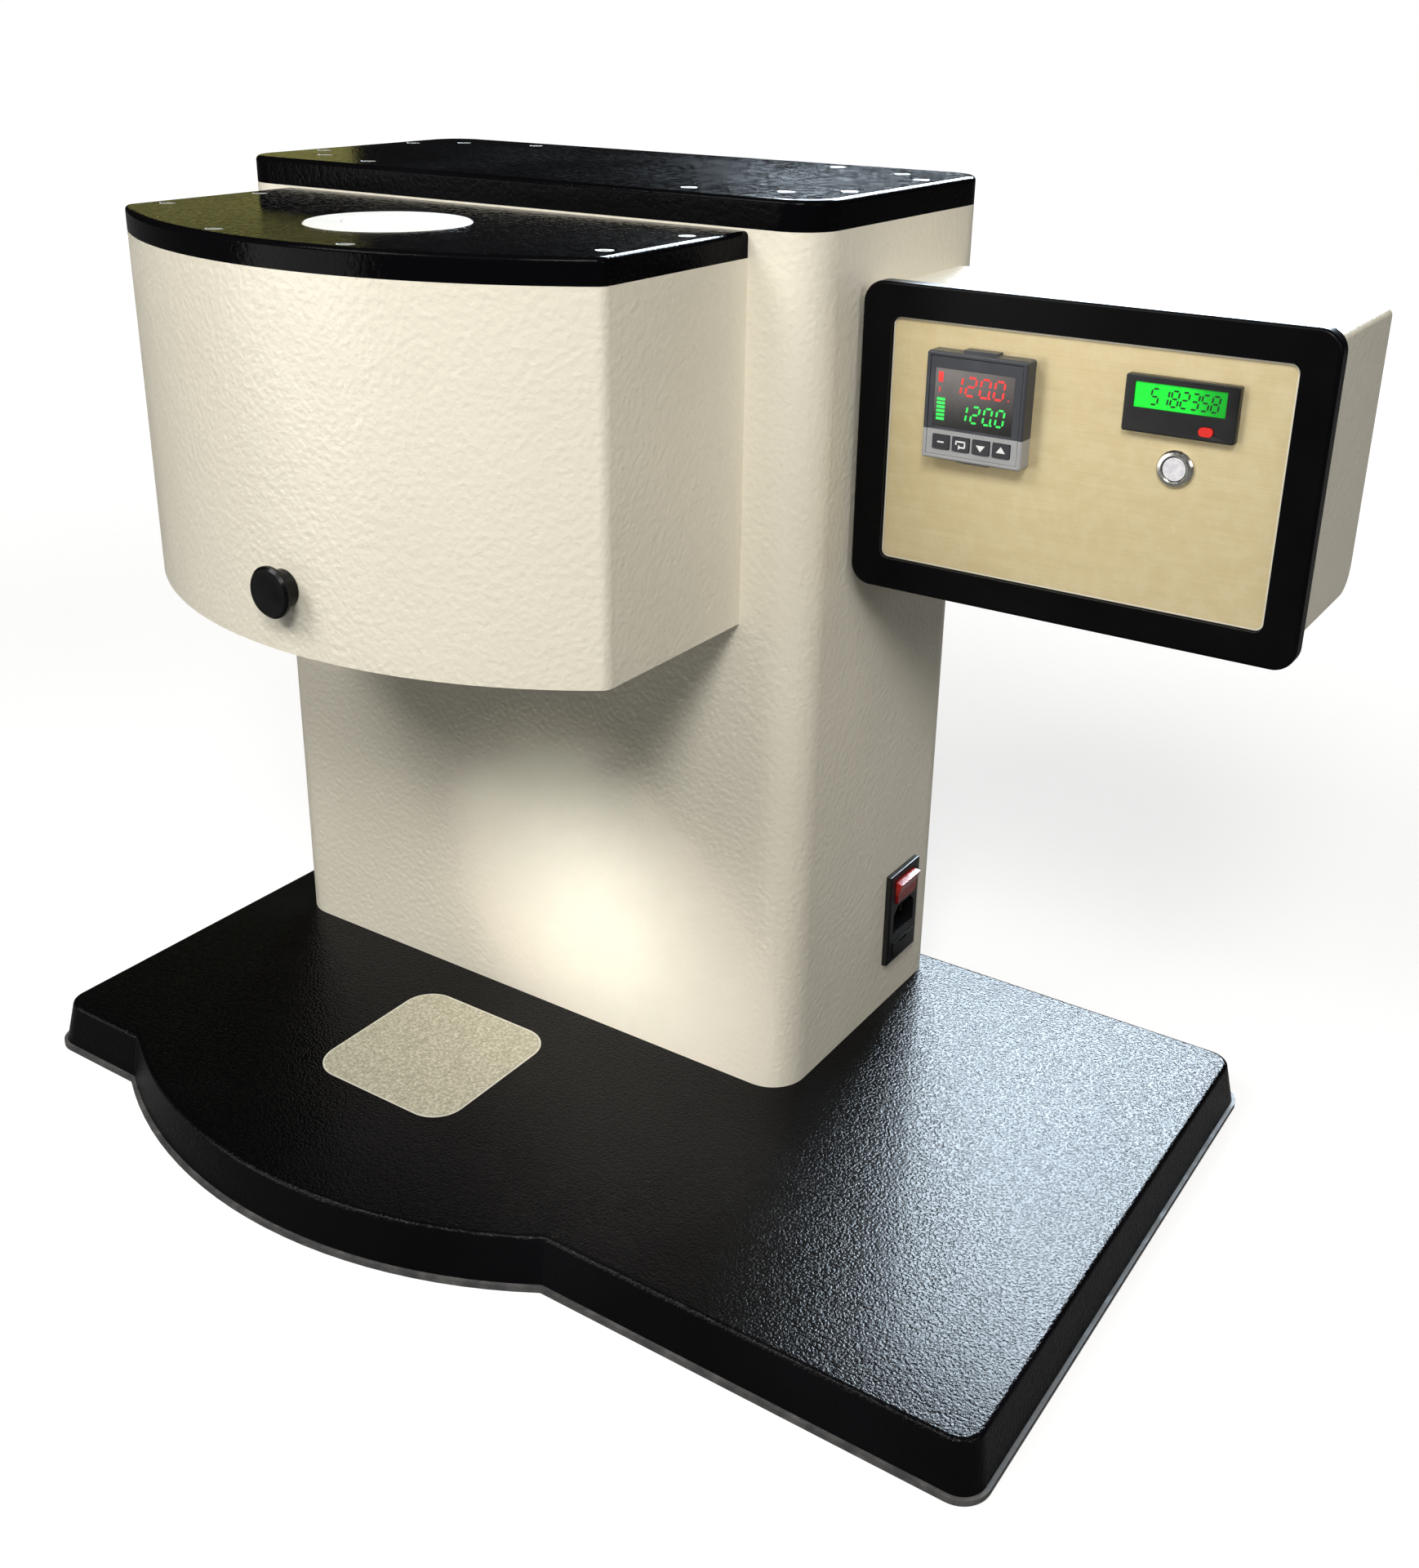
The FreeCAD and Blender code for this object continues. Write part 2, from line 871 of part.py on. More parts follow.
def rear_screw_places():
    x = half_column - S.column_corner - S.rear_flange / 2
    low = S.base_height + S.rear_flange / 2 + S.rear_screw_lift
    high = column_top - S.rear_flange / 2 - S.rear_screw_lift
    level = column_back + S.rear_thickness
    rows = 4
    pitch = (high - low) / (rows - 1)
    return [(side * x, level, low + i * pitch) for side in (-1, 1) for i in range(rows)]


def bracket_bolt_places():
    level = column_front + S.sheet
    low = release_level + S.bracket_bolt_rise
    x = S.bracket_bolt_across / 2
    return [(side * x, level, z) for side in (-1, 1) for z in (low, low + S.bracket_bolt_pitch)]


def bracket_bolt_length():
    return S.sheet + S.bracket_thickness + 2 * S.margin


def box_screw_places():
    rows = (bezel_low + S.box_screw_inset, bezel_high - S.box_screw_inset)
    columns = (bezel_back + S.box_screw_front, box_back - S.box_screw_back)
    return [(half_column - S.sheet, y, z) for y in columns for z in rows]


def cable_place():
    return (half_column - S.sheet, (bezel_back + box_back) / 2, (bezel_low + bezel_high) / 2)


def cable_drill(label):
    length = S.sheet + S.box_wall + S.margin
    return holes(label, [cable_place()], "X", length, S.cable_hole / 2 + S.running)


def column_shell():
    body = new_body("column_body")

    def walls(drawing):
        column_outline(drawing, as_size(0))
        column_outline(drawing, S.sheet)

    pad(body, "XY", S.base_height, column_top, walls)
    half = half_column - S.column_corner - S.rear_flange
    low, high = S.base_height + S.rear_flange, column_top - S.rear_flange
    pocket(body, "XZ", column_back - S.sheet * 2, column_back + S.margin,
           lambda d: d.rectangle(-half, half, low, high))
    reach = S.inlet_body / 2 + S.fit
    tall = S.inlet_height / 2 - S.inlet_shoulder + S.fit
    pocket(body, "YZ", half_column - S.sheet * 2, half_column + S.margin,
           lambda d: d.rectangle(inlet_y - reach, inlet_y + reach, inlet_z - tall, inlet_z + tall))
    drills = [
        holes("rear_drills", rear_screw_places(), "-Y", S.rear_screw_length, S.rear_screw / 2 + S.running),
        holes("bracket_drills", bracket_bolt_places(), "-Y", bracket_bolt_length(),
              S.bracket_bolt / 2 + S.running),
        holes("box_drills", box_screw_places(), "X", S.box_screw_length, S.box_screw / 2 + S.running),
        cable_drill("cable_drill"),
    ]
    cut("column_shell", body, *drills)


def column_foot():
    body = new_body("foot_body")
    pad(body, "XY", S.base_height, S.base_height + S.foot_thickness,
        lambda d: column_outline(d, S.sheet + S.fit))
    radius = S.foot_bolt / 2
    cut("column_foot", body,
        holes("foot_bolt_drills", foot_bolt_places(), "-Z", S.foot_thickness * 2, radius + S.running))
    cap_screws("foot_bolts", foot_bolt_places(), "-Z", S.foot_thickness + S.base_roof, radius)


def rear_panel():
    body = new_body("rear_panel_body")
    half = half_column - S.column_corner - S.rear_side_gap
    low, high = S.base_height + S.rear_margin, column_top - S.rear_margin
    slots = 6

    def face(drawing):
        drawing.rectangle(-half, half, low, high, S.rear_corner)
        for level in (low + S.vent_rise, high - S.vent_drop):
            for i in range(slots):
                z = level + i * S.vent_pitch
                drawing.rectangle(-S.column_width / 6, S.column_width / 6, z, z + S.vent_width)

    pad(body, "XZ", column_back, column_back + S.rear_thickness, face)
    radius = S.rear_screw / 2
    cut("rear_panel", body,
        holes("rear_panel_drills", rear_screw_places(), "-Y", S.rear_screw_length, radius + S.running))
    cap_screws("rear_panel_screws", rear_screw_places(), "-Y", S.rear_screw_length, radius)


# Equipment on the upright plate inside the column

def equipment_plate():
    back = equipment_front + S.sheet
    low = equipment_low
    upright_plate = block("equipment_upright", (-half_plate, half_plate), (equipment_front, back),
                          (low, low + S.equipment_height))
    toe = block("equipment_toe", (-half_plate, half_plate), (back, back + S.toe_depth),
                (low, low + S.sheet))
    fuse("equipment_plate", upright_plate, toe)


def power_supply():
    left, low = -half_plate + S.supply_margin, equipment_low + S.supply_rise
    block("power_supply", (left, left + S.supply_width), (equipment_front - S.supply_depth, equipment_front),
          (low, low + S.supply_height))


def heater_relay():
    """A solid-state relay on a finned plate."""
    left, low = S.relay_left, equipment_low + S.relay_rise
    fin_back = equipment_front
    fin_front = fin_back - S.fin_depth
    plate_front = fin_front - S.sink_plate
    case = block("relay_case", (left, left + S.relay_width), (plate_front - S.relay_depth, plate_front),
                 (low, low + S.relay_height))
    tall = (low - S.sink_overlap, low + S.relay_height + S.sink_overlap)
    side = left - S.sink_margin
    sink = block("relay_sink", (side, left + S.relay_width + S.sink_margin), (plate_front, fin_front), tall)
    count = 7
    fins = []
    for i in range(count):
        start = side + i * S.fin_pitch
        fins.append(block("relay_fin", (start, start + S.fin_thickness), (fin_front, fin_back), tall))
    fuse("heater_relay", case, sink, *fins)


def terminal_block():
    half, low = S.strip_width / 2, equipment_low + S.strip_rise
    front = equipment_front - S.strip_depth
    strip = block("terminal_strip", (-half, half), (front, equipment_front), (low, low + S.strip_height))
    well_low = low + (S.strip_height - S.well_height) / 2
    count = 11
    wells = []
    for i in range(count):
        left = -half + S.well_margin + i * S.well_pitch
        wells.append(block("terminal_well", (left, left + S.well_width),
                           (front - S.margin, front + S.well_depth), (well_low, well_low + S.well_height)))
    cut("terminal_block", strip, *wells)


# Mains inlet

def inlet():
    body = new_body("inlet_body")
    half_y, half_z = S.inlet_width / 2, S.inlet_height / 2
    pad(body, "YZ", half_column, inlet_face,
        lambda d: d.rectangle(inlet_y - half_y, inlet_y + half_y, inlet_z - half_z, inlet_z + half_z))
    round_edges(body, S.inlet_edge, lambda e: abs(e.CenterOfMass.x - inlet_face.value) < 1e-4)
    core_y, core_z = S.inlet_body / 2, half_z - S.inlet_shoulder
    pad(body, "YZ", half_column - S.inlet_depth, half_column,
        lambda d: d.rectangle(inlet_y - core_y, inlet_y + core_y, inlet_z - core_z, inlet_z + core_z))
    across, tall = S.rocker_width / 2 + S.play, S.rocker_height / 2 + S.rocker_swing
    level = rocker_level()
    pocket(body, "YZ", inlet_face - S.rocker_well, inlet_face,
           lambda d: d.rectangle(inlet_y - across, inlet_y + across, level - tall, level + tall))
    pocket(body, "YZ", inlet_face - S.socket_depth, inlet_face, socket_outline)
    slot = S.drawer_width / 2 + S.fit
    low, high = drawer_span()
    pocket(body, "YZ", inlet_face - S.drawer_depth - S.margin, inlet_face,
           lambda d: d.rectangle(inlet_y - slot, inlet_y + slot, low - S.fit, high + S.fit))
    cut("inlet_housing", body, trunnions("trunnion_seats", S.running))


def socket_outline(drawing):
    """A rectangle with its two upper corners cut off."""
    low, high = socket_span()
    width, chamfer = S.socket_width / 2, S.socket_chamfer
    drawing.polygon([
        (inlet_y - width, low), (inlet_y + width, low), (inlet_y + width, high - chamfer),
        (inlet_y + width - chamfer, high), (inlet_y - width + chamfer, high),
        (inlet_y - width, high - chamfer),
    ])


def inlet_pins():
    low, high = socket_span()
    middle = (low + high) / 2
    depth = (inlet_face - S.socket_depth, inlet_face - S.pin_setback)
    thin, tall = S.pin_thickness / 2, S.pin_height / 2
    places = [
        (inlet_y, middle + S.earth_rise),
        (inlet_y - S.pin_spread, middle - S.pin_drop),
        (inlet_y + S.pin_spread, middle - S.pin_drop),
    ]
    group("inlet_pins", [
        block("inlet_pin", depth, (y - thin, y + thin), (z - tall, z + tall)) for y, z in places
    ])


def rocker_level():
    return inlet_z + S.inlet_height / 2 - S.rocker_drop


def socket_span():
    high = rocker_level() - S.socket_drop
    return high - S.socket_height, high


def drawer_span():
    low = inlet_z - S.inlet_height / 2 + S.drawer_rise
    return low, low + S.drawer_height


def trunnions(label, slack):
    x, y, z = rocker_pivot()
    reach = S.rocker_width / 2 + S.play + S.trunnion_length + slack
    return rod(label, (x, y - reach, z), S.trunnion_diameter / 2 + slack, reach * 2, "Y")


def rocker():
    """A two-way rocker: its face is a shallow valley, and it turns on two trunnions."""
    body = new_body("rocker_body")
    half, waist = S.rocker_height / 2, S.rocker_waist / 2
    reach, valley, back = S.rocker_reach, S.rocker_valley, -S.rocker_back

    def profile(drawing):
        drawing.polygon([
            (back, -waist), (as_size(0), -half), (reach, -half), (valley, as_size(0)),
            (reach, half), (as_size(0), half), (back, waist),
        ])

    across = S.rocker_width / 2
    pad(body, "XZ", -across, across, profile)
    body.Placement = Placement(Vector(), Rotation(Vector(0, 1, 0), SIZES["rocker_tilt"]))
    for axis, size in zip("xyz", rocker_pivot()):
        bind(body, f"Placement.Base.{axis}", size)
    bind(body, "Placement.Rotation.Angle", S.rocker_tilt)
    fuse("power_rocker", body, trunnions("rocker_trunnions", as_size(0)))


def rocker_pivot():
    return inlet_face - S.rocker_depth, inlet_y, rocker_level()


def fuse_drawer():
    low, high = drawer_span()
    half = S.drawer_width / 2
    case = block("drawer_case", (inlet_face - S.drawer_depth, inlet_face + S.drawer_proud),
                 (inlet_y - half, inlet_y + half), (low, high))
    trough_half = S.fuse_length / 2 + S.fit
    radius = S.fuse_diameter / 2
    centre, floor = inlet_face - S.fuse_setback, low + S.drawer_floor
    trough = block("drawer_trough", (centre - radius - S.fit, centre + radius + S.fit),
                   (inlet_y - trough_half, inlet_y + trough_half), (floor, high + S.margin))
    notch_half, notch_high = S.notch_width / 2, high - S.notch_drop
    notch = block("drawer_notch", (inlet_face - S.notch_depth, inlet_face + S.margin),
                  (inlet_y - notch_half, inlet_y + notch_half), (notch_high - S.notch_height, notch_high))
    cut("fuse_drawer", case, trough, notch)
    rod("fuse", (centre, inlet_y - S.fuse_length / 2, floor + radius), radius, S.fuse_length, "Y")


# Head

def head_screw_places():
    level = head_top
    side, nose = half_head - S.head_screw_inset, head_nose + S.nose_screw_inset
    front, back = head_corner + S.head_screw_front, column_front - S.head_screw_back
    spots = [(side, front), (side, back), (S.nose_screw_across / 2, nose)]
    return [(sx * x, y, level) for sx in (-1, 1) for x, y in spots]


def side_corner(edge):
    beside = abs(edge.CenterOfMass.x) > half_head.value - S.head_bend.value
    return upright(edge) and beside and edge.CenterOfMass.y < 0


def head_shell():
    body = new_body("head_body")
    pad(body, "XY", head_low, head_high, lambda d: head_outline(d, as_size(0), column_front))
    round_edges(body, S.head_bend, side_corner)
    inner = column_front - S.sheet
    pocket(body, "XY", head_low, head_high, lambda d: head_outline(d, S.sheet, inner))
    round_edges(body, S.head_bend - S.sheet, side_corner)
    half = half_head - S.sheet - S.head_flange
    pocket(body, "XY", head_low, head_high,
           lambda d: d.rectangle(-half, half, inner - S.margin, column_front + S.margin))
    hole = rod("bush_hole", (0, head_nose - S.margin, release_level), S.rod_diameter / 2 + S.rod_bush_wall,
               S.sheet + 2 * S.margin, "Y")
    cut("head_shell", body, hole)


def head_cover():
    body = new_body("head_cover_body")
    pad(body, "XY", head_high, head_top, lambda d: head_outline(d, as_size(0), column_front))
    round_edges(body, S.head_bend, side_corner)
    before_column = column_front.value - S.margin.value
    round_edges(body, S.cover_edge, lambda e: level_at(head_top)(e) and e.CenterOfMass.y < before_column)
    pocket(body, "XY", head_high, head_top - S.cover_roof,
           lambda d: head_outline(d, S.sheet * 2, column_front - S.sheet * 2))
    ring = S.ring_diameter / 2 + S.play
    pocket(body, "XY", head_high, head_top, lambda d: d.circle(0, 0, ring))
    seats = flush_screws("head_cover_seats", head_screw_places(), "-Z", S.cover_roof, S.running)
    cut("head_cover", body, seats)
    flush_screws("head_cover_screws", head_screw_places(), "-Z", S.cover_screw_length)


def head_floor():
    body = new_body("head_floor")
    inward = S.sheet + S.fit
    pad(body, "XY", head_low, head_low + S.sheet,
        lambda d: head_outline(d, inward, column_front - inward))
    round_edges(body, S.head_bend - S.sheet, side_corner)
    pocket(body, "XY", head_low - S.margin, head_low + S.sheet + S.margin,
           lambda d: d.circle(0, 0, S.head_outlet / 2))


def barrel_bracket():
    """A ribbed steel shelf, bolted to the column's front, that carries the barrel."""
    half = S.bracket_width / 2
    low = guide_low - S.bracket_thickness
    shelf = block("bracket_shelf", (-half, half), (-half, column_front), (low, guide_low))
    flange = block("bracket_flange", (-half, half), (column_front - S.bracket_thickness, column_front),
                   (low, release_level + S.bracket_rise))
    ribs = [
        block("bracket_rib", (x, x + S.rib_width), (-half + S.rib_setback, column_front),
              (guide_low, guide_low + S.rib_height))
        for x in (-half, half - S.rib_width)
    ]
    whole = fuse("bracket_whole", shelf, flange, *ribs)
    outlet = rod("bracket_outlet", (0, 0, low - S.margin), S.bracket_outlet / 2,
                 S.bracket_thickness + 2 * S.margin)
    rod_groove = S.rod_diameter / 2 + S.margin
    groove = block("bracket_groove", (-rod_groove, rod_groove), (-half - S.margin, slide_front + S.margin),
                   (release_level - rod_groove, guide_low + S.margin))
    drills = holes("bracket_bolt_drills", bracket_bolt_places(), "-Y", bracket_bolt_length(),
                   S.bracket_bolt / 2 + S.running)
    cut("barrel_bracket", whole, outlet, groove, drills)
    cap_screws("bracket_bolts", bracket_bolt_places(), "-Y", bracket_bolt_length(), S.bracket_bolt / 2)


# Furnace

def barrel():
    body = new_body("barrel_turned")
    bore = S.bore / 2
    flange, flange_top = S.flange_diameter / 2, flange_low + S.flange_thickness
    mouth = bore + S.bore_mouth
    seat, seat_top = bore + S.running, flange_low + S.die_length
    turned(body, [
        (seat, flange_low), (flange, flange_low), (flange, flange_top), (barrel_radius, flange_top),
        (barrel_radius, barrel_top), (mouth, barrel_top), (bore, barrel_top - S.bore_mouth),
        (bore, seat_top), (seat, seat_top),
    ])
    well = rod("sensor_well", (0, bore + S.sensor_wall, sensor_level), S.sensor_diameter / 2 + S.running,
               barrel_radius, "Y")
    cut("barrel", body, well)


def tube(label, inner, outer, low, high):
    body = new_body(label)

    def rings(drawing):
        drawing.circle(0, 0, outer)
        drawing.circle(0, 0, inner)

    pad(body, "XY", low, high, rings)


def heaters():
    middle = (heater_low + heater_high) / 2
    inner = barrel_radius + S.fit
    tube("lower_heater", inner, heater_radius, heater_low, middle - S.heater_gap / 2)
    tube("upper_heater", inner, heater_radius, middle + S.heater_gap / 2, heater_high)


def insulation_jacket():
    tube("insulation_jacket", heater_radius + S.play, S.jacket_diameter / 2, heater_low, jacket_top)


def temperature_sensor():
    tip = S.bore / 2 + S.sensor_wall + S.sensor_gap
    stem = rod("sensor_stem", (0, tip, sensor_level), S.sensor_diameter / 2,
               barrel_radius + S.sensor_reach, "Y")
    collar = rod("sensor_collar", (0, barrel_radius + S.margin, sensor_level), S.sensor_collar / 2,
                 S.sensor_collar, "Y")
    fuse("temperature_sensor", stem, collar)


def top_insulator():
    """A stepped ring: its flange lies on the jacket and its collar closes the gap below."""
    ring = new_body("top_insulator")
    inner = barrel_radius + S.fit
    radius, edge = S.ring_diameter / 2, S.ring_edge
    seat = S.plug_diameter / 2 + S.play
    low = heater_high + S.margin
    turned(ring, [
        (inner, low), (heater_radius, low), (heater_radius, jacket_top), (radius, jacket_top),
        (radius, ring_top - edge), (radius - edge, ring_top), (seat, ring_top),
        (seat, barrel_top + S.fit), (inner, barrel_top + S.fit),
    ])


def barrel_plug():
    plug = new_body("barrel_plug")
    stem, cap = S.bore / 2 - S.running, S.plug_diameter / 2
    low, dish = barrel_top - S.plug_reach, S.plug_dish
    top, rim = ring_top + S.plug_proud, cap - S.plug_rim
    turned(plug, [
        (0, low), (stem - S.plug_tip, low), (stem, low + S.margin), (stem, barrel_top + S.play),
        (cap, barrel_top + S.play), (cap, top - dish), (cap - dish, top), (rim, top),
        (rim - dish, top - dish), (0, top - dish),
    ])


# Die release

def die():
    body = new_body("die")
    outer, inner = S.bore / 2 - S.running, S.die_bore / 2
    top = flange_low + S.die_length
    turned(body, [(inner, flange_low), (outer, flange_low), (outer, top), (inner, top)])


def die_slide():
    """The plate below the die, which a pull on the knob draws clear of it."""
    half = S.slide_width / 2
    low = guide_low + S.fit / 2
    plate = block("slide_plate", (-half, half), (slide_front, S.release_travel + half),
                  (low, low + S.slide_thickness - S.fit))
    below, tall = guide_low - S.margin, S.slide_thickness + 2 * S.margin
    relief = rod("slide_relief", (0, 0, below), S.slide_relief / 2, tall)
    drop = rod("slide_drop", (0, S.release_travel, below), S.bore / 2 + S.margin, tall)
    thread = rod("slide_thread", (0, slide_front - S.margin, release_level), S.rod_thread / 2,
                 S.thread_length + S.margin, "Y")
    cut("die_slide", plate, relief, drop, thread)
    reach = S.bracket_width / 2 - S.guide_inset
    group("slide_guides", [
        block("slide_guide", span, (-reach, reach), (guide_low, flange_low))
        for span in ((-reach, -half - S.running), (half + S.running, reach))
    ])


def release_rod():
    radius = S.rod_diameter / 2
    start = head_nose - S.knob_proud + S.knob_face
    shaft = rod("rod_shaft", (0, start, release_level), radius, slide_front - start, "Y")
    spigot = rod("rod_spigot", (0, slide_front - S.margin, release_level), S.rod_thread / 2 - S.running,
                 S.thread_length, "Y")
    fuse("release_rod", shaft, spigot)
    bush = new_body("rod_bush")
    inner, neck = radius + S.running, radius + S.rod_bush_wall - S.running
    rim, lip = S.rod_bush_rim, radius + S.rod_bush_wall + S.rod_bush_lip
    length = rim + S.fit + S.sheet
    turned(bush, [(inner, 0), (lip, 0), (lip, rim), (neck, rim), (neck, length), (inner, length)])
    settle(bush, (as_size(0), head_nose + length, release_level), "-Y")


def release_knob():
    knob = new_body("release_knob")
    bore, gap, edge = S.rod_diameter / 2 + S.running, S.knob_gap, S.knob_edge
    face, neck = S.knob_diameter / 2, S.knob_neck / 2
    proud, back = S.knob_proud, S.knob_proud - S.knob_face
    turned(knob, [
        (0, back), (bore, back), (bore, gap), (neck, gap), (neck, back - S.knob_flare),
        (face - S.knob_back_edge, back), (face, back + S.knob_back_edge), (face, proud - edge),
        (face - edge, proud), (0, proud),
    ])
    settle(knob, (as_size(0), head_nose, release_level), "-Y")


# Control box

def control_box():
    body = new_body("box_body")
    low, high = bezel_low + S.box_inset, bezel_high - S.box_inset
    pad(body, "XY", low, high, lambda d: d.rectangle(half_column, box_right, bezel_back, box_back))

    def along_back(level):
        return lambda edge: level_at(level)(edge) and edge.BoundBox.YMin > box_back.value - 1e-4

    def round_the_side(edge):
        behind_bezel = edge.CenterOfMass.y > bezel_back.value + S.margin.value
        return behind_bezel and edge.BoundBox.XMin > box_right.value - 1e-4

    round_edges(body, S.box_low_round, along_back(low))
    round_edges(body, S.box_top_round, along_back(high))
    solid = round_edges(body, S.box_side_round, round_the_side)
    front = [
        f"Face{i + 1}" for i, face in enumerate(solid.Shape.Faces)
        if face.BoundBox.YMax < bezel_back.value + 1e-4
    ]
    shell = body.newObject("PartDesign::Thickness", "box_walls")
    shell.Base = (solid, front)
    bind(shell, "Value", S.box_wall)
    shell.Reversed = True
    radius = S.box_screw / 2
    drills = holes("box_wall_drills", box_screw_places(), "X", S.box_screw_length, radius + S.running)
    cut("control_box", body, drills, cable_drill("box_cable_drill"))
    cap_screws("box_screws", box_screw_places(), "X", S.box_screw_length, radius)


def cable_bush():
    bush = new_body("cable_bush")
    bore, neck, rim = S.cable_bore / 2, S.cable_hole / 2, S.cable_bush / 2
    length, lip = S.sheet + S.box_wall, S.cable_lip
    turned(bush, [
        (bore, -lip), (rim, -lip), (rim, 0), (neck, 0), (neck, length), (rim, length),
        (rim, length + lip), (bore, length + lip),
    ])
    settle(bush, cable_place(), "X")


def bezel():
    body = new_body("bezel")
    rim = S.bezel_rim
    left, right = bezel_left + rim, bezel_right - rim
    low, high = bezel_low + rim, bezel_high - rim
    pad(body, "XZ", bezel_front, bezel_back,
        lambda d: d.rectangle(bezel_left, bezel_right, bezel_low, bezel_high, S.bezel_corner))
    round_edges(body, S.bezel_edge, lambda e: abs(e.BoundBox.YMax - bezel_front.value) < 1e-4)
    pocket(body, "XZ", bezel_front, bezel_back,
           lambda d: d.rectangle(left, right, low, high, S.opening_corner))
    seat = S.panel_lap + S.fit
    pocket(body, "XZ", panel_front, bezel_back,
           lambda d: d.rectangle(left - seat, right + seat, low - seat, high + seat, S.opening_corner))


def front_panel():
    body = new_body("front_panel")
    edge = S.bezel_rim - S.panel_lap
    pad(body, "XZ", panel_front, panel_back,
        lambda d: d.rectangle(bezel_left + edge, bezel_right - edge, bezel_low + edge, bezel_high - edge,
                              S.opening_corner))
    half, half_counter = S.cutout / 2, S.counter_cutout / 2

    def openings(drawing):
        drawing.rectangle(controller_x - half, controller_x + half, controller_z - half, controller_z + half)
        drawing.rectangle(counter_x - half, counter_x + half, counter_z - half_counter,
                          counter_z + half_counter)
        drawing.circle(counter_x, button_z, S.button_shank / 2 + S.running)

    pocket(body, "XZ", panel_front - S.margin, panel_back + S.margin, openings)


# Temperature controller

def around(x, z, half_x, half_z, radius=None):
    """Draws a rectangle about its centre."""
    return lambda drawing: drawing.rectangle(x - half_x, x + half_x, z - half_z, z + half_z, radius)


def key_places():
    level = controller_z - S.instrument_side / 2 + S.key_rise
    count = 4
    return [(controller_x + S.key_pitch * (i - (count - 1) / 2), level) for i in range(count)]


def key_wells(drawing):
    for x, z in key_places():
        around(x, z, S.key_width / 2 + S.fit, S.key_height / 2 + S.fit)(drawing)


def controller_case():
    side = S.instrument_side / 2
    front, x, z = controller_front, controller_x, controller_z
    head = new_body("controller_head")
    pad(head, "XZ", front, panel_front, around(x, z, side, side, S.controller_corner))
    round_edges(head, S.controller_edge, lambda e: abs(e.BoundBox.YMax - front.value) < 1e-4)
    face = side - S.controller_rim
    pocket(head, "XZ", front, front + S.face_depth, around(x, z, face, face))
    pocket(head, "XZ", front, front + S.key_well, key_wells)
    half = controller_body
    rear = block("controller_rear", (x - half, x + half), (panel_front, panel_back + S.controller_depth),
                 (z - half, z + half))
    tab = S.tab_width / 2
    tabs = [
        block("controller_tab", (x - tab, x + tab), (front + S.tab_setback, panel_front),
              (z + low, z + low + S.tab_height))
        for low in (side - S.fit, S.fit - side - S.tab_height)
    ]
    fuse("controller_case", head, rear, *tabs)


def controller_face():
    """The front plate, open at the window and the keys."""
    plate = new_body("controller_face")
    edge = S.instrument_side / 2 - S.controller_rim - S.fit
    front = controller_front
    pad(plate, "XZ", front + S.face_setback, front + S.face_depth,
        around(controller_x, controller_z, edge, edge))
    side, gap = S.instrument_side / 2, S.fit / 2
    left, right = controller_x - side + S.window_left, controller_x + side - S.window_right
    high = controller_z + side - S.window_drop
    low = high - S.window_height

    def openings(drawing):
        key_wells(drawing)
        drawing.rectangle(left, right, low, high)

    pocket(plate, "XZ", front, front + S.face_depth + S.margin, openings)
    block("controller_window", (left + gap, right - gap), (front + S.window_setback, front + S.face_depth),
          (low + gap, high - gap))


def controller_keys():
    names = ("set_key", "shift_key", "down_key", "up_key")
    for name, (x, z) in zip(names, key_places()):
        key = new_body(name)
        pad(key, "XZ", controller_front - S.key_proud, controller_front + S.key_depth,
            around(x, z, S.key_width / 2, S.key_height / 2, S.key_corner))


def controller_clamp():
    """The frame behind the panel that holds the controller in its cut-out."""
    outer, inner = S.cutout / 2 + S.clamp_rim, controller_body + S.fit / 2
    back = panel_back + S.clamp_depth
    ring = block("clamp_outer", (controller_x - outer, controller_x + outer), (panel_back, back),
                 (controller_z - outer, controller_z + outer))
    hole = block("clamp_inner", (controller_x - inner, controller_x + inner),
                 (panel_back - S.margin, back + S.margin), (controller_z - inner, controller_z + inner))
    cut("controller_clamp", ring, hole)


# Counter and start button

def counter():
    half_x, half_z = S.instrument_side / 2, S.counter_height / 2
    front = panel_front - S.counter_proud
    head = new_body("counter_head")
    pad(head, "XZ", front, panel_front, around(counter_x, counter_z, half_x, half_z, S.counter_corner))
    round_edges(head, S.counter_edge, lambda e: abs(e.BoundBox.YMax - front.value) < 1e-4)
    left, right = counter_x - half_x + S.display_left, counter_x + half_x - S.display_right
    high = counter_z + half_z - S.display_drop
    low, back = high - S.display_height, front + S.display_depth
    pocket(head, "XZ", front, back, lambda d: d.rectangle(left, right, low, high))
    x, z = counter_x + half_x - S.reset_inset, counter_z - half_z + S.reset_rise
    button_x, button_tall = S.reset_width / 2, S.reset_height / 2
    pocket(head, "XZ", front, front + S.reset_well,
           around(x, z, button_x + S.fit, button_tall + S.fit, S.reset_corner + S.fit))
    body_x, body_z = S.counter_body / 2, S.counter_cutout / 2 - S.fit
    rear = block("counter_rear", (counter_x - body_x, counter_x + body_x),
                 (panel_front, panel_back + S.counter_depth), (counter_z - body_z, counter_z + body_z))
    fuse("counter_case", head, rear)
    gap = S.fit / 2
    block("counter_window", (left + gap, right - gap), (front + S.display_setback, back),
          (low + gap, high - gap))
    button = new_body("reset_button")
    pad(button, "XZ", front - S.reset_proud, front + S.reset_depth,
        around(x, z, button_x, button_tall, S.reset_corner))


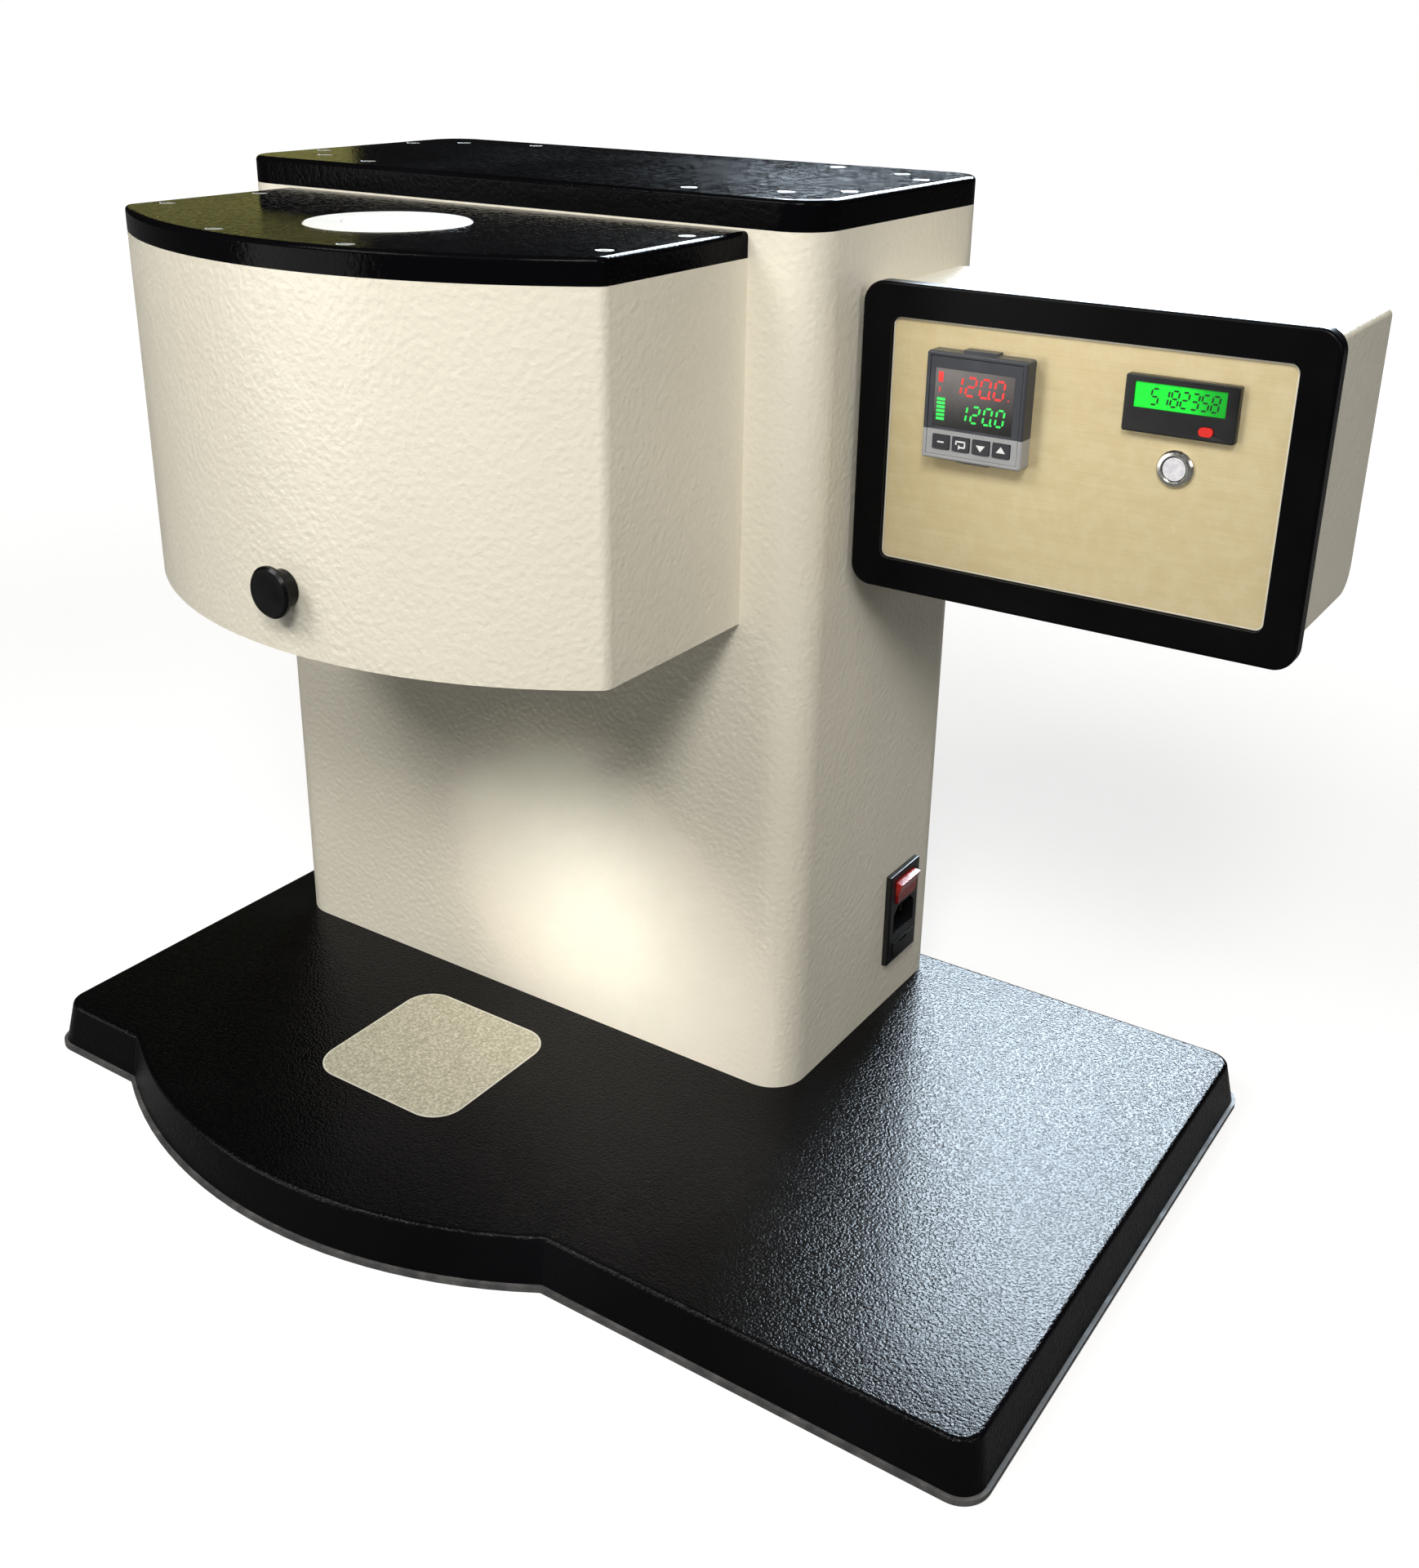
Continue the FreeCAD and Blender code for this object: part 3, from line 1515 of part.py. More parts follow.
def start_button():
    cap, flange, shank = S.button_cap / 2, S.button_flange / 2, S.button_shank / 2
    well, tail = cap + S.running, S.button_tail / 2
    back, rim, proud = -S.button_length, S.button_rim, S.button_proud
    bush = new_body("button_bushing")
    turned(bush, [
        (0, back), (tail, back), (tail, back + S.margin), (shank, back + S.margin), (shank, 0),
        (flange, 0), (flange, S.button_step), (flange - S.button_edge, rim - S.play),
        (well + S.button_chamfer, rim), (well, proud), (well, -S.button_well), (0, -S.button_well),
    ])
    moving = new_body("start_button")
    turned(moving, [
        (0, -proud), (cap, -proud), (cap, proud - S.cap_edge), (cap - S.cap_edge, proud), (0, proud),
    ])
    for piece in (bush, moving):
        settle(piece, (counter_x, panel_front, button_z), "-Y")


def button_nut():
    nut = new_body("button_nut")
    radius = S.nut_across / 2
    turns = [math.radians(60 * i) for i in range(6)]

    def ring(drawing):
        drawing.polygon([
            (counter_x + radius * math.cos(turn), button_z + radius * math.sin(turn)) for turn in turns
        ])
        drawing.circle(counter_x, button_z, S.button_shank / 2 + S.running)

    pad(nut, "XZ", panel_back, panel_back + S.nut_thickness, ring)


PIECES = (
    base_casting, sole_plate, catch_plate, column_foot, column_cover, column_shell, rear_panel,
    equipment_plate, power_supply, heater_relay, terminal_block, inlet, inlet_pins, rocker, fuse_drawer,
    head_shell, head_cover, head_floor, barrel_bracket, barrel, heaters, insulation_jacket,
    temperature_sensor, top_insulator, barrel_plug, die, die_slide, release_rod, release_knob,
    control_box, cable_bush, bezel, front_panel, controller_case, controller_face, controller_keys,
    controller_clamp, counter, start_button, button_nut,
)

NODES = (
    "base_casting", "sole_plate", "sole_screws", "catch_plate", "column_foot", "foot_bolts",
    "column_shell", "column_cover", "column_cover_screws", "rear_panel", "rear_panel_screws",
    "equipment_plate", "power_supply", "heater_relay", "terminal_block",
    "inlet_housing", "inlet_pins", "power_rocker", "fuse_drawer", "fuse",
    "head_shell", "head_cover", "head_cover_screws", "head_floor", "barrel_bracket", "bracket_bolts",
    "barrel", "lower_heater", "upper_heater", "insulation_jacket", "temperature_sensor",
    "top_insulator", "barrel_plug", "die", "die_slide", "slide_guides",
    "release_rod", "rod_bush", "release_knob",
    "control_box", "box_screws", "cable_bush", "bezel", "front_panel",
    "controller_case", "controller_face", "controller_window", "set_key", "shift_key", "down_key", "up_key",
    "controller_clamp", "counter_case", "counter_window", "reset_button",
    "button_bushing", "start_button", "button_nut",
)


def check(thing):
    shape = thing.Shape
    if shape.isNull() or not shape.isValid() or not shape.Solids:
        raise RuntimeError(f"{thing.Label}: the shape is missing or not valid")


def main():
    for make in PIECES:
        make()
    doc.recompute()
    failed = [f"{o.Name} {o.State}" for o in doc.Objects if {"Invalid", "Error"} & set(o.State)]
    if failed:
        raise RuntimeError("failed: " + ", ".join(failed))
    os.makedirs("parts", exist_ok=True)
    for node in NODES:
        thing = doc.getObjectsByLabel(node)[0]
        check(thing)
        thing.Shape.exportStep(f"parts/{node}.step")
        box = thing.Shape.BoundBox
        print(f"{node:22s} {len(thing.Shape.Solids):3d} solids {thing.Shape.Volume:12.1f} mm3 "
              f"x {box.XMin:8.2f} {box.XMax:8.2f} y {box.YMin:8.2f} {box.YMax:8.2f} "
              f"z {box.ZMin:8.2f} {box.ZMax:8.2f}")


main()
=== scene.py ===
import math

import bmesh
import bpy
from mathutils import Matrix, Quaternion, Vector

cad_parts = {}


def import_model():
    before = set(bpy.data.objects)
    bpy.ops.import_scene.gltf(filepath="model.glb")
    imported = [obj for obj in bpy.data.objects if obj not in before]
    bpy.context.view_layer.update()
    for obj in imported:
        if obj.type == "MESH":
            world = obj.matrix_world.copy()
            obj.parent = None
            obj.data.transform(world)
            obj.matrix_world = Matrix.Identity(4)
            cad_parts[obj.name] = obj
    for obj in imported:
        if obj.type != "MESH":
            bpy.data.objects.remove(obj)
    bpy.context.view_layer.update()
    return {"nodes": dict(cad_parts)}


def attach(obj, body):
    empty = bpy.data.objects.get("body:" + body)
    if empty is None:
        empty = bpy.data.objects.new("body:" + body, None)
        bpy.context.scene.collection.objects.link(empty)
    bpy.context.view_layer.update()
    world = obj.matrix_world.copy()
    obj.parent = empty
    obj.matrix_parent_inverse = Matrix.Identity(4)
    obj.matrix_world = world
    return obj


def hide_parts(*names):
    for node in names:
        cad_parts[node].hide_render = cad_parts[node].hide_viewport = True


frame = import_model()
NODES = frame["nodes"]
MM = 0.001


# Shared places, in metres

CONTROLLER = Vector((240.9, 108.0, 393.5)) * MM
CONTROLLER_HALF = 24 * MM
STRIP_LEVEL = CONTROLLER.z - CONTROLLER_HALF + 13.4 * MM
# Heights over which the controller window's painted reflection pales it
WINDOW_REFLECTION_LEVELS = (384.2 * MM, 410.3 * MM)
COUNTER = Vector((330.4, 113.0, 405.5)) * MM
COUNTER_FADE = (330 * MM, 347 * MM)
BUTTON_X, BUTTON_Z, BUTTON_RADIUS = 330.4 * MM, 379.5 * MM, 5.3 * MM
PANEL_LEFT, PANEL_RIGHT, PANEL_LOW, PANEL_HIGH = 194.9 * MM, 375.9 * MM, 316 * MM, 429 * MM
PANEL_CORNER = 0.004
CATCH_HALF, CATCH_CORNER = 0.0465, 0.017
# Heights over which the rocker's painted shade turns into painted light
ROCKER_PAINTED_SHADE_LEVELS = (0.094, 0.1055)
FUSE_MIDDLE, FUSE_GLASS_HALF = 0.1965, 0.0068

COVER_SCREW_RADIUS, COVER_SCREW_SHANK, COVER_SCREW_LENGTH = 3.8 * MM, 2 * MM, 7 * MM
COVER_SCREW_SUNK = 0.1 * MM
COLUMN_COVER_TOP = 480 * MM
COLUMN_SCREWS = ((144, 104.5), (165, 125), (100, 92), (144, 216.5), (165, 196), (100, 229))
HEAD_COVER_TOP = 465.5 * MM
HEAD_SCREWS = ((131, -13.5), (131, 45), (39, -65.5))


# Shader maths

class Wire:
    """One output of a finish's node tree; calculating with it adds Math nodes."""

    def __init__(self, finish, socket):
        self.finish = finish
        self.socket = socket

    def math(self, operation, *terms):
        return self.finish.add("ShaderNodeMath", {"operation": operation}, dict(enumerate(terms)))

    def __add__(self, other):
        return self.math("ADD", self, other)

    def __radd__(self, other):
        return self.math("ADD", other, self)

    def __sub__(self, other):
        return self.math("SUBTRACT", self, other)

    def __rsub__(self, other):
        return self.math("SUBTRACT", other, self)

    def __mul__(self, other):
        return self.math("MULTIPLY", self, other)

    def __rmul__(self, other):
        return self.math("MULTIPLY", other, self)

    def __abs__(self):
        return self.math("ABSOLUTE", self)

    def root(self):
        return self.math("SQRT", self)

    def above(self, low):
        return self.math("MAXIMUM", self, low)

    def ramp(self, start, end, first=0.0, last=1.0):
        """Runs smoothly from first to last while the value goes from start to end."""
        return self.finish.add("ShaderNodeMapRange", {"interpolation_type": "SMOOTHSTEP"}, {
            "Value": self, "From Min": start, "From Max": end, "To Min": first, "To Max": last})


class Finish:
    """A procedural material around one Principled shader."""

    def __init__(self, name, **constants):
        self.material = bpy.data.materials.new(name)
        self.material.use_nodes = True
        self.tree = self.material.node_tree
        self.shader = self.tree.nodes["Principled BSDF"]
        self.give(**constants)

    def add(self, kind, settings=None, inputs=None, out=0):
        """A new node of a kind; its inputs take numbers, colours, vectors or wires."""
        node = self.tree.nodes.new(kind)
        for name, value in (settings or {}).items():
            setattr(node, name, value)
        for key, value in (inputs or {}).items():
            self.connect(node.inputs[key], value)
        return Wire(self, node.outputs[out])

    def connect(self, socket, value):
        if isinstance(value, Wire):
            self.tree.links.new(value.socket, socket)
        elif isinstance(value, tuple) and len(value) == 3 and socket.type == "RGBA":
            socket.default_value = (*value, 1.0)
        else:
            socket.default_value = value

    def give(self, **values):
        """Sets or wires the shader's own inputs, with _ for a space in their names."""
        for name, value in values.items():
            self.connect(self.shader.inputs[name.replace("_", " ")], value)
        return self

    def place(self):
        return self.add("ShaderNodeTexCoord", out="Object")

    def axes(self):
        split = self.add("ShaderNodeSeparateXYZ", inputs={0: self.place()})
        outputs = split.socket.node.outputs
        return [Wire(self, outputs[i]) for i in range(3)]

    def stretched(self, x, y, z):
        """The place in metres times a scale for each axis, for grain that runs one way."""
        return self.add("ShaderNodeMapping", inputs={"Vector": self.place(), "Scale": (x, y, z)})

    def noise(self, scale, detail=2.0, roughness=0.5, where=None):
        return self.add("ShaderNodeTexNoise", inputs={
            "Vector": where or self.place(), "Scale": scale, "Detail": detail,
            "Roughness": roughness})

    def cells(self, scale, smoothness):
        return self.add("ShaderNodeTexVoronoi", {"feature": "SMOOTH_F1"}, {
            "Vector": self.place(), "Scale": scale, "Smoothness": smoothness})

    def blend(self, mask, first, second):
        """The first colour where the mask is 0, the second where it is 1."""
        mix = self.add("ShaderNodeMix", {"data_type": "RGBA"}, out="Result")
        node = mix.socket.node
        self.connect(node.inputs["Factor"], mask)
        colours = [s for s in node.inputs if s.type == "RGBA"]
        self.connect(colours[0], first)
        self.connect(colours[1], second)
        return Wire(self, [s for s in node.outputs if s.type == "RGBA"][0])

    def bump(self, height, strength, distance):
        normal = self.add("ShaderNodeBump", inputs={
            "Height": height, "Strength": strength, "Distance": distance})
        return self.give(Normal=normal)


def linear(red, green, blue):
    """A display colour from 0 to 255 as the shader's linear one."""
    return tuple(
        c / 12.92 if c <= 0.04045 else ((c + 0.055) / 1.055) ** 2.4
        for c in (red / 255, green / 255, blue / 255)
    )


# Finishes: lengths are in metres, and a noise's scale is about its waves in a metre

def cream_coat():
    """Pale warm grey powder coat with a fine orange peel."""
    coat = Finish("cream_coat")
    cloud = coat.noise(7.0, 3.0)
    speck = coat.noise(1400.0, 1.0).ramp(0.62, 0.8)
    tone = coat.blend(cloud.ramp(0.3, 0.7), linear(230, 224, 207), linear(236, 230, 214))
    coat.give(Base_Color=coat.blend(speck * 0.35, tone, linear(196, 190, 172)))
    coat.give(Roughness=coat.noise(60.0, 3.0).ramp(0.2, 0.8, 0.3, 0.42))
    peel = coat.noise(380.0, 2.0, 0.5) + coat.cells(300.0, 0.8) * 0.7
    return coat.bump(peel, 0.42, 0.0007)


def black_coat(name, grain, strength, shine, **constants):
    """Black powder coat; more grain makes finer wrinkles, and shine is the least roughness."""
    coat = Finish(name, **constants)
    dust = coat.noise(grain * 6, 2.0).ramp(0.68, 0.8)
    rubbed = coat.noise(9.0, 4.0).ramp(0.45, 0.75)
    tone = coat.blend(rubbed, linear(7, 7, 9), linear(13, 13, 16))
    coat.give(Base_Color=coat.blend(dust * 0.4, tone, linear(40, 42, 48)))
    patches = coat.noise(grain, 3.0).ramp(0.25, 0.75, shine, shine + 0.14)
    coat.give(Roughness=patches + rubbed * 0.05)
    ridges = coat.noise(grain, 2.0, 0.5).ramp(0.34, 0.52)
    pebbles = coat.cells(grain * 0.8, 0.35).ramp(0.2, 0.6)
    return coat.bump(ridges + pebbles * 0.5, strength, 0.0009)


def satin_black():
    """The bezel's smooth satin black paint, slightly rubbed in smears."""
    paint = Finish("satin_black", Specular_IOR_Level=0.08)
    smear = paint.noise(14.0, 4.0, 0.6)
    paint.give(Base_Color=paint.blend(smear.ramp(0.4, 0.75), linear(5, 5, 7), linear(10, 10, 12)))
    paint.give(Roughness=smear.ramp(0.3, 0.7, 0.27, 0.36))
    return paint.bump(paint.noise(700.0, 2.0), 0.06, 0.0003)


def sole_grey():
    """The scuffed grey band under the casting."""
    band = Finish("sole_grey", Specular_IOR_Level=0.35)
    scuff = band.noise(90.0, 5.0, 0.65)
    tone = band.blend(scuff.ramp(0.35, 0.75), linear(66, 66, 68), linear(104, 103, 102))
    band.give(Base_Color=tone, Roughness=scuff.ramp(0.3, 0.7, 0.45, 0.62))
    return band.bump(scuff, 0.2, 0.0004)


def steel(name, colour, roughness, grain, metallic=1.0):
    """Ground or plated metal with fine lines along the axis where the grain is lowest."""
    metal = Finish(name, Metallic=metallic)
    lines = metal.noise(1.0, 3.0, 0.6, metal.stretched(*grain))
    cloud = metal.noise(55.0, 3.0)
    darker = tuple(c * 0.72 for c in colour)
    metal.give(Base_Color=metal.blend(lines.ramp(0.3, 0.7) * 0.6 + cloud * 0.3, colour, darker))
    metal.give(Roughness=lines.ramp(0.25, 0.75, roughness - 0.06, roughness + 0.1))
    return metal.bump(lines, 0.12, 0.0002)


def catch_finish():
    """The inset plate: matt blasted stainless with a mottled grain and a painted highlight as a
    thin bright rim.
    """
    plate = Finish("catch_finish", Metallic=0.3)
    x, y, _ = plate.axes()
    dx = (abs(x) - (CATCH_HALF - CATCH_CORNER)).above(0.0)
    dy = (abs(y) - (CATCH_HALF - CATCH_CORNER)).above(0.0)
    from_edge = CATCH_CORNER - (dx * dx + dy * dy).root()
    # painted highlight: a thin bright line just inside the plate's edge
    rim = from_edge.ramp(0.0004, 0.0012, 1.0, 0.0)
    mottle = plate.noise(620.0, 5.0, 0.75)
    streak = plate.noise(1.0, 3.0, 0.6, plate.stretched(420.0, 60.0, 60.0))
    body = plate.blend(mottle.ramp(0.38, 0.66), linear(168, 164, 142), linear(224, 220, 202))
    body = plate.blend(streak.ramp(0.5, 0.75) * 0.4, body, linear(150, 146, 124))
    plate.give(Base_Color=plate.blend(rim * 0.8, body, linear(240, 238, 226)))
    plate.give(Roughness=mottle.ramp(0.3, 0.7, 0.42, 0.6))
    return plate.bump(mottle + streak * 0.4, 0.25, 0.0003)


def panel_finish(left, right, low, high):
    """Brushed champagne plate with a painted highlight on its bevel and a dark gap where it meets
    the bezel.
    """
    sheet = Finish("panel_finish", Metallic=0.4, Anisotropic=0.4)
    x, _, z = sheet.axes()
    middle_x, middle_z = (left + right) / 2, (low + high) / 2
    dx = (abs(x - middle_x) - ((right - left) / 2 - PANEL_CORNER)).above(0.0)
    dz = (abs(z - middle_z) - ((high - low) / 2 - PANEL_CORNER)).above(0.0)
    from_edge = PANEL_CORNER - (dx * dx + dz * dz).root()
    gap = from_edge.ramp(0.0003, 0.0006, 1.0, 0.0)
    # painted highlight: a thin bright line along the bevel just inside the dark gap
    bevel = from_edge.ramp(0.0009, 0.0013, 1.0, 0.0)
    fine = sheet.noise(1.0, 3.0, 0.65, sheet.stretched(24.0, 24.0, 3600.0))
    wide = sheet.noise(1.0, 4.0, 0.6, sheet.stretched(30.0, 30.0, 240.0))
    blotch = sheet.noise(120.0, 4.0, 0.65) * from_edge.ramp(0.0, 0.03, 1.0, 0.15)
    tone = sheet.blend(wide.ramp(0.2, 0.8), linear(222, 204, 159), linear(229, 212, 168))
    tone = sheet.blend(fine.ramp(0.4, 0.8) * 0.3, tone, linear(188, 170, 124))
    tone = sheet.blend(blotch.ramp(0.4, 0.6) * 0.25, tone, linear(238, 226, 192))
    tone = sheet.blend(bevel, tone, linear(250, 244, 226))
    sheet.give(Base_Color=sheet.blend(gap, tone, linear(20, 17, 13)))
    sheet.give(Roughness=fine.ramp(0.3, 0.7, 0.3, 0.42) + blotch * 0.15)
    return sheet.bump(fine + wide * 0.4, 0.08, 0.0002)


def ceramic():
    """White insulating ring and plug, smooth with faint pits."""
    clay = Finish("white_ceramic", Specular_IOR_Level=0.4)
    pit = clay.cells(900.0, 0.3)
    cloud = clay.noise(70.0, 3.0).ramp(0.4, 0.8)
    clay.give(Base_Color=clay.blend(cloud, linear(231, 230, 225), linear(221, 220, 213)))
    clay.give(Roughness=pit.ramp(0.1, 0.6, 0.4, 0.55))
    return clay.bump(pit, 0.08, 0.0002)


def plastic(name, colour, roughness, grain=1600.0, strength=0.12, **constants):
    """Moulded plastic with a fine spark-eroded grain."""
    moulded = Finish(name, **constants)
    wear = moulded.noise(40.0, 4.0, 0.6)
    lighter = tuple(c * 1.25 + 0.004 for c in colour)
    moulded.give(Base_Color=moulded.blend(wear.ramp(0.45, 0.8) * 0.6, colour, lighter))
    moulded.give(Roughness=wear.ramp(0.3, 0.7, roughness - 0.04, roughness + 0.08))
    return moulded.bump(moulded.noise(grain, 2.0), strength, 0.0002)


def two_tone(name, level, lower, upper):
    """The controller's case and front: lower colour under the level, upper colour over it."""
    front = Finish(name, Specular_IOR_Level=0.4)
    _, _, z = front.axes()
    strip = z.ramp(level - 0.0001, level + 0.0001, 1.0, 0.0)
    wear = front.noise(60.0, 4.0)
    tone = front.blend(strip, upper, lower)
    front.give(Base_Color=front.blend(wear.ramp(0.5, 0.8) * 0.2, tone, linear(120, 124, 130)))
    front.give(Roughness=wear.ramp(0.3, 0.7, 0.36, 0.48))
    return front.bump(front.noise(1500.0, 2.0), 0.08, 0.0002)


def dark_window(low, high):
    """Smoked window with a painted reflection that pales it from the low to the high level."""
    glass = Finish("dark_window", Coat_Weight=0.4, Coat_Roughness=0.08, Specular_IOR_Level=0.4)
    _, _, z = glass.axes()
    # painted reflection: the window pales from dark at the low level to grey at the high level
    shade = z.ramp(low, high)
    smear = glass.noise(160.0, 3.0)
    tone = glass.blend(shade, linear(9, 10, 11), linear(92, 86, 86))
    glass.give(Base_Color=glass.blend(smear.ramp(0.5, 0.8) * 0.2, tone, linear(70, 68, 70)))
    glass.give(Roughness=smear.ramp(0.3, 0.7, 0.18, 0.3))
    return glass.bump(smear, 0.03, 0.0001)


def lit(name, colour, strength, dim=None, along=None):
    """A lit display colour, slightly uneven; along two places on x it falls to the dim colour."""
    display = Finish(name, Emission_Strength=strength)
    glow = display.noise(420.0, 2.0)
    tone = display.blend(glow.ramp(0.35, 0.75) * 0.35, colour, tuple(c * 0.7 for c in colour))
    if dim:
        x, _, _ = display.axes()
        tone = display.blend(x.ramp(*along), tone, dim)
    display.give(Base_Color=tone, Emission_Color=tone)
    return display.give(Roughness=glow.ramp(0.3, 0.7, 0.3, 0.4))


def red_lens():
    """The rocker's translucent red, with painted shade darkening its lower part and painted light
    on its upper part.
    """
    lens = Finish("red_lens", Transmission_Weight=0.25, IOR=1.49,
                  Coat_Weight=0.6, Coat_Roughness=0.12)
    _, _, z = lens.axes()
    cloud = lens.noise(240.0, 3.0)
    # painted light and shade: dark red on the rocker's lower part, lighter red on its upper part
    tone = lens.blend(z.ramp(*ROCKER_PAINTED_SHADE_LEVELS), linear(126, 14, 20), linear(206, 44, 40))
    lens.give(Base_Color=lens.blend(cloud.ramp(0.4, 0.75) * 0.4, tone, linear(232, 92, 80)))
    lens.give(Roughness=cloud.ramp(0.3, 0.7, 0.2, 0.32))
    return lens.bump(cloud, 0.05, 0.0003)


def button_cap(x0, z0, radius):
    """The push button's pearly cap with the dark joint round it."""
    cap = Finish("button_cap", Metallic=0.35)
    x, _, z = cap.axes()
    away = ((x - x0) * (x - x0) + (z - z0) * (z - z0)).root()
    joint = away.ramp(radius - 0.0004, radius - 0.0002)
    cloud = cap.noise(330.0, 4.0, 0.6)
    tone = cap.blend(cloud.ramp(0.35, 0.7), linear(226, 226, 236), linear(250, 250, 252))
    cap.give(Base_Color=cap.blend(joint, tone, linear(16, 14, 14)))
    cap.give(Roughness=cloud.ramp(0.3, 0.7, 0.3, 0.42))
    return cap.bump(cloud, 0.06, 0.0002)


def wool():
    """The furnace's fibrous insulation."""
    fibre = Finish("mineral_wool")
    strand = fibre.noise(1.0, 5.0, 0.7, fibre.stretched(180.0, 180.0, 620.0))
    fibre.give(Base_Color=fibre.blend(strand, linear(196, 184, 150), linear(228, 220, 196)))
    fibre.give(Roughness=strand.ramp(0.2, 0.8, 0.85, 1.0))
    return fibre.bump(strand, 0.7, 0.001)


def fuse_glass():
    """Clear glass between the fuse's two metal caps."""
    tube = Finish("fuse_glass", Transmission_Weight=0.8, IOR=1.5)
    _, y, _ = tube.axes()
    ends = abs(y - FUSE_MIDDLE).ramp(FUSE_GLASS_HALF, FUSE_GLASS_HALF + 0.0001)
    tone = tube.blend(ends, linear(230, 238, 236), linear(196, 192, 184))
    tube.give(Base_Color=tone, Metallic=ends)
    return tube.give(Roughness=ends.ramp(0.0, 1.0, 0.06, 0.3))


SLATE = linear(58, 61, 68)
PALE_GREY = linear(160, 161, 164)
BLACK_PLASTIC = linear(17, 18, 21)

FINISHES = {
    "cream": cream_coat(),
    "base": black_coat("base_coat", 700.0, 0.19, 0.08, Specular_IOR_Level=0.085),
    "cover": black_coat("cover_coat", 420.0, 0.06, 0.05, Specular_IOR_Level=0.03),
    "bezel": satin_black(),
    "sole": sole_grey(),
    "screw": steel("screw_steel", linear(206, 204, 198), 0.3, (700.0, 60.0, 700.0), 0.5),
    "zinc": steel("zinc_plate", linear(188, 190, 186), 0.38, (60.0, 700.0, 700.0)),
    "ground": steel("ground_steel", linear(150, 150, 152), 0.28, (60.0, 60.0, 1400.0)),
    "stainless": steel("turned_stainless", linear(214, 213, 208), 0.22, (900.0, 900.0, 900.0)),
    "aluminium": steel("plain_aluminium", linear(200, 202, 204), 0.4, (60.0, 800.0, 800.0)),
    "brass": steel("nickelled_brass", linear(206, 190, 150), 0.25, (800.0, 800.0, 60.0)),
    "catch": catch_finish(),
    "panel": panel_finish(PANEL_LEFT, PANEL_RIGHT, PANEL_LOW, PANEL_HIGH),
    "ceramic": ceramic(),
    "knob": plastic("gloss_black", linear(5, 5, 6), 0.16, 900.0, 0.03, Specular_IOR_Level=0.2),
    "black_plastic": plastic("black_plastic", BLACK_PLASTIC, 0.34),
    "grey_plastic": plastic("grey_plastic", linear(176, 176, 172), 0.5),
    "key": plastic("key_plastic", linear(44, 46, 52), 0.42),
    "controller": two_tone("controller_front", STRIP_LEVEL, PALE_GREY, SLATE),
    "window": dark_window(*WINDOW_REFLECTION_LEVELS),
    "lcd": lit("lit_green_window", linear(16, 214, 52), 0.5, linear(0, 150, 30), COUNTER_FADE),
    "red_digit": lit("red_digit", linear(226, 48, 46), 0.75),
    "green_digit": lit("green_digit", linear(48, 214, 84), 0.75),
    "dark_digit": plastic("dark_digit", linear(6, 48, 16), 0.5),
    "symbol": plastic("printed_white", linear(226, 228, 230), 0.5),
    "red_button": plastic("red_button", linear(222, 40, 34), 0.3),
    "rocker": red_lens(),
    "cap": button_cap(BUTTON_X, BUTTON_Z, BUTTON_RADIUS),
    "wool": wool(),
    "fuse": fuse_glass(),
}

DRESS = {
    "cream": "column_shell head_shell head_floor control_box rear_panel",
    "base": "base_casting",
    "cover": "column_cover head_cover",
    "bezel": "bezel",
    "sole": "sole_plate",
    "screw": "rear_panel_screws box_screws sole_screws foot_bolts bracket_bolts",
    "zinc": "column_foot equipment_plate barrel_bracket",
    "ground": "barrel die die_slide slide_guides release_rod",
    "stainless": "button_bushing button_nut temperature_sensor",
    "aluminium": "lower_heater upper_heater heater_relay",
    "brass": "inlet_pins rod_bush",
    "catch": "catch_plate",
    "panel": "front_panel",
    "ceramic": "top_insulator barrel_plug",
    "knob": "release_knob",
    "black_plastic": "power_supply controller_clamp cable_bush",
    "grey_plastic": "terminal_block",
    "key": "set_key shift_key down_key up_key",
    "controller": "controller_face",
    "window": "controller_window",
    "lcd": "counter_window",
    "red_button": "reset_button",
    "cap": "start_button",
    "wool": "insulation_jacket",
    "fuse": "fuse",
}


def dress_nodes():
    """Gives each CAD node its finish; its mesh stays as it is."""
    for finish, names in DRESS.items():
        for name in names.split():
            mesh = NODES[name].data
            mesh.materials.clear()
            mesh.materials.append(FINISHES[finish].material)


# Pieces

SHARP_FROM, EASED_FROM, FLAT_UNDER = (math.radians(angle) for angle in (30, 35, 0.6))
SAME_PLACE = 1e-6
# Shares of a screw head's radius
SOCKET_RADIUS, SOCKET_DEPTH, HEAD_RIM = 0.52, 0.45, 0.08


def piece(name, shape, finish, body, replaces=()):
    """Turns a finished bmesh into a piece that rides on its body."""
    bmesh.ops.recalc_face_normals(shape, faces=shape.faces)
    mesh = bpy.data.meshes.new(name)
    shape.to_mesh(mesh)
    shape.free()
    mesh.materials.append(FINISHES[finish].material)
    thing = bpy.data.objects.new(name, mesh)
    bpy.context.scene.collection.objects.link(thing)
    mesh.shade_smooth()
    mesh.set_sharp_from_angle(angle=SHARP_FROM)
    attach(thing, body)
    if replaces:
        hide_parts(*replaces)
    return thing


def bevelled(name, node, finish, body, width):
    """The node's own shape with its hard edges eased."""
    shape = bmesh.new()
    shape.from_mesh(NODES[node].data)
    bmesh.ops.remove_doubles(shape, verts=shape.verts, dist=SAME_PLACE)
    bmesh.ops.dissolve_limit(shape, angle_limit=FLAT_UNDER, verts=shape.verts, edges=shape.edges)
    thing = piece(name, shape, finish, body, [node])
    edge = thing.modifiers.new("eased_edges", "BEVEL")
    edge.width = width
    edge.segments = 3
    edge.limit_method = "ANGLE"
    edge.angle_limit = EASED_FROM
    edge.harden_normals = True


def edges_of(verts):
    return list(dict.fromkeys(edge for vert in verts for edge in vert.link_edges))


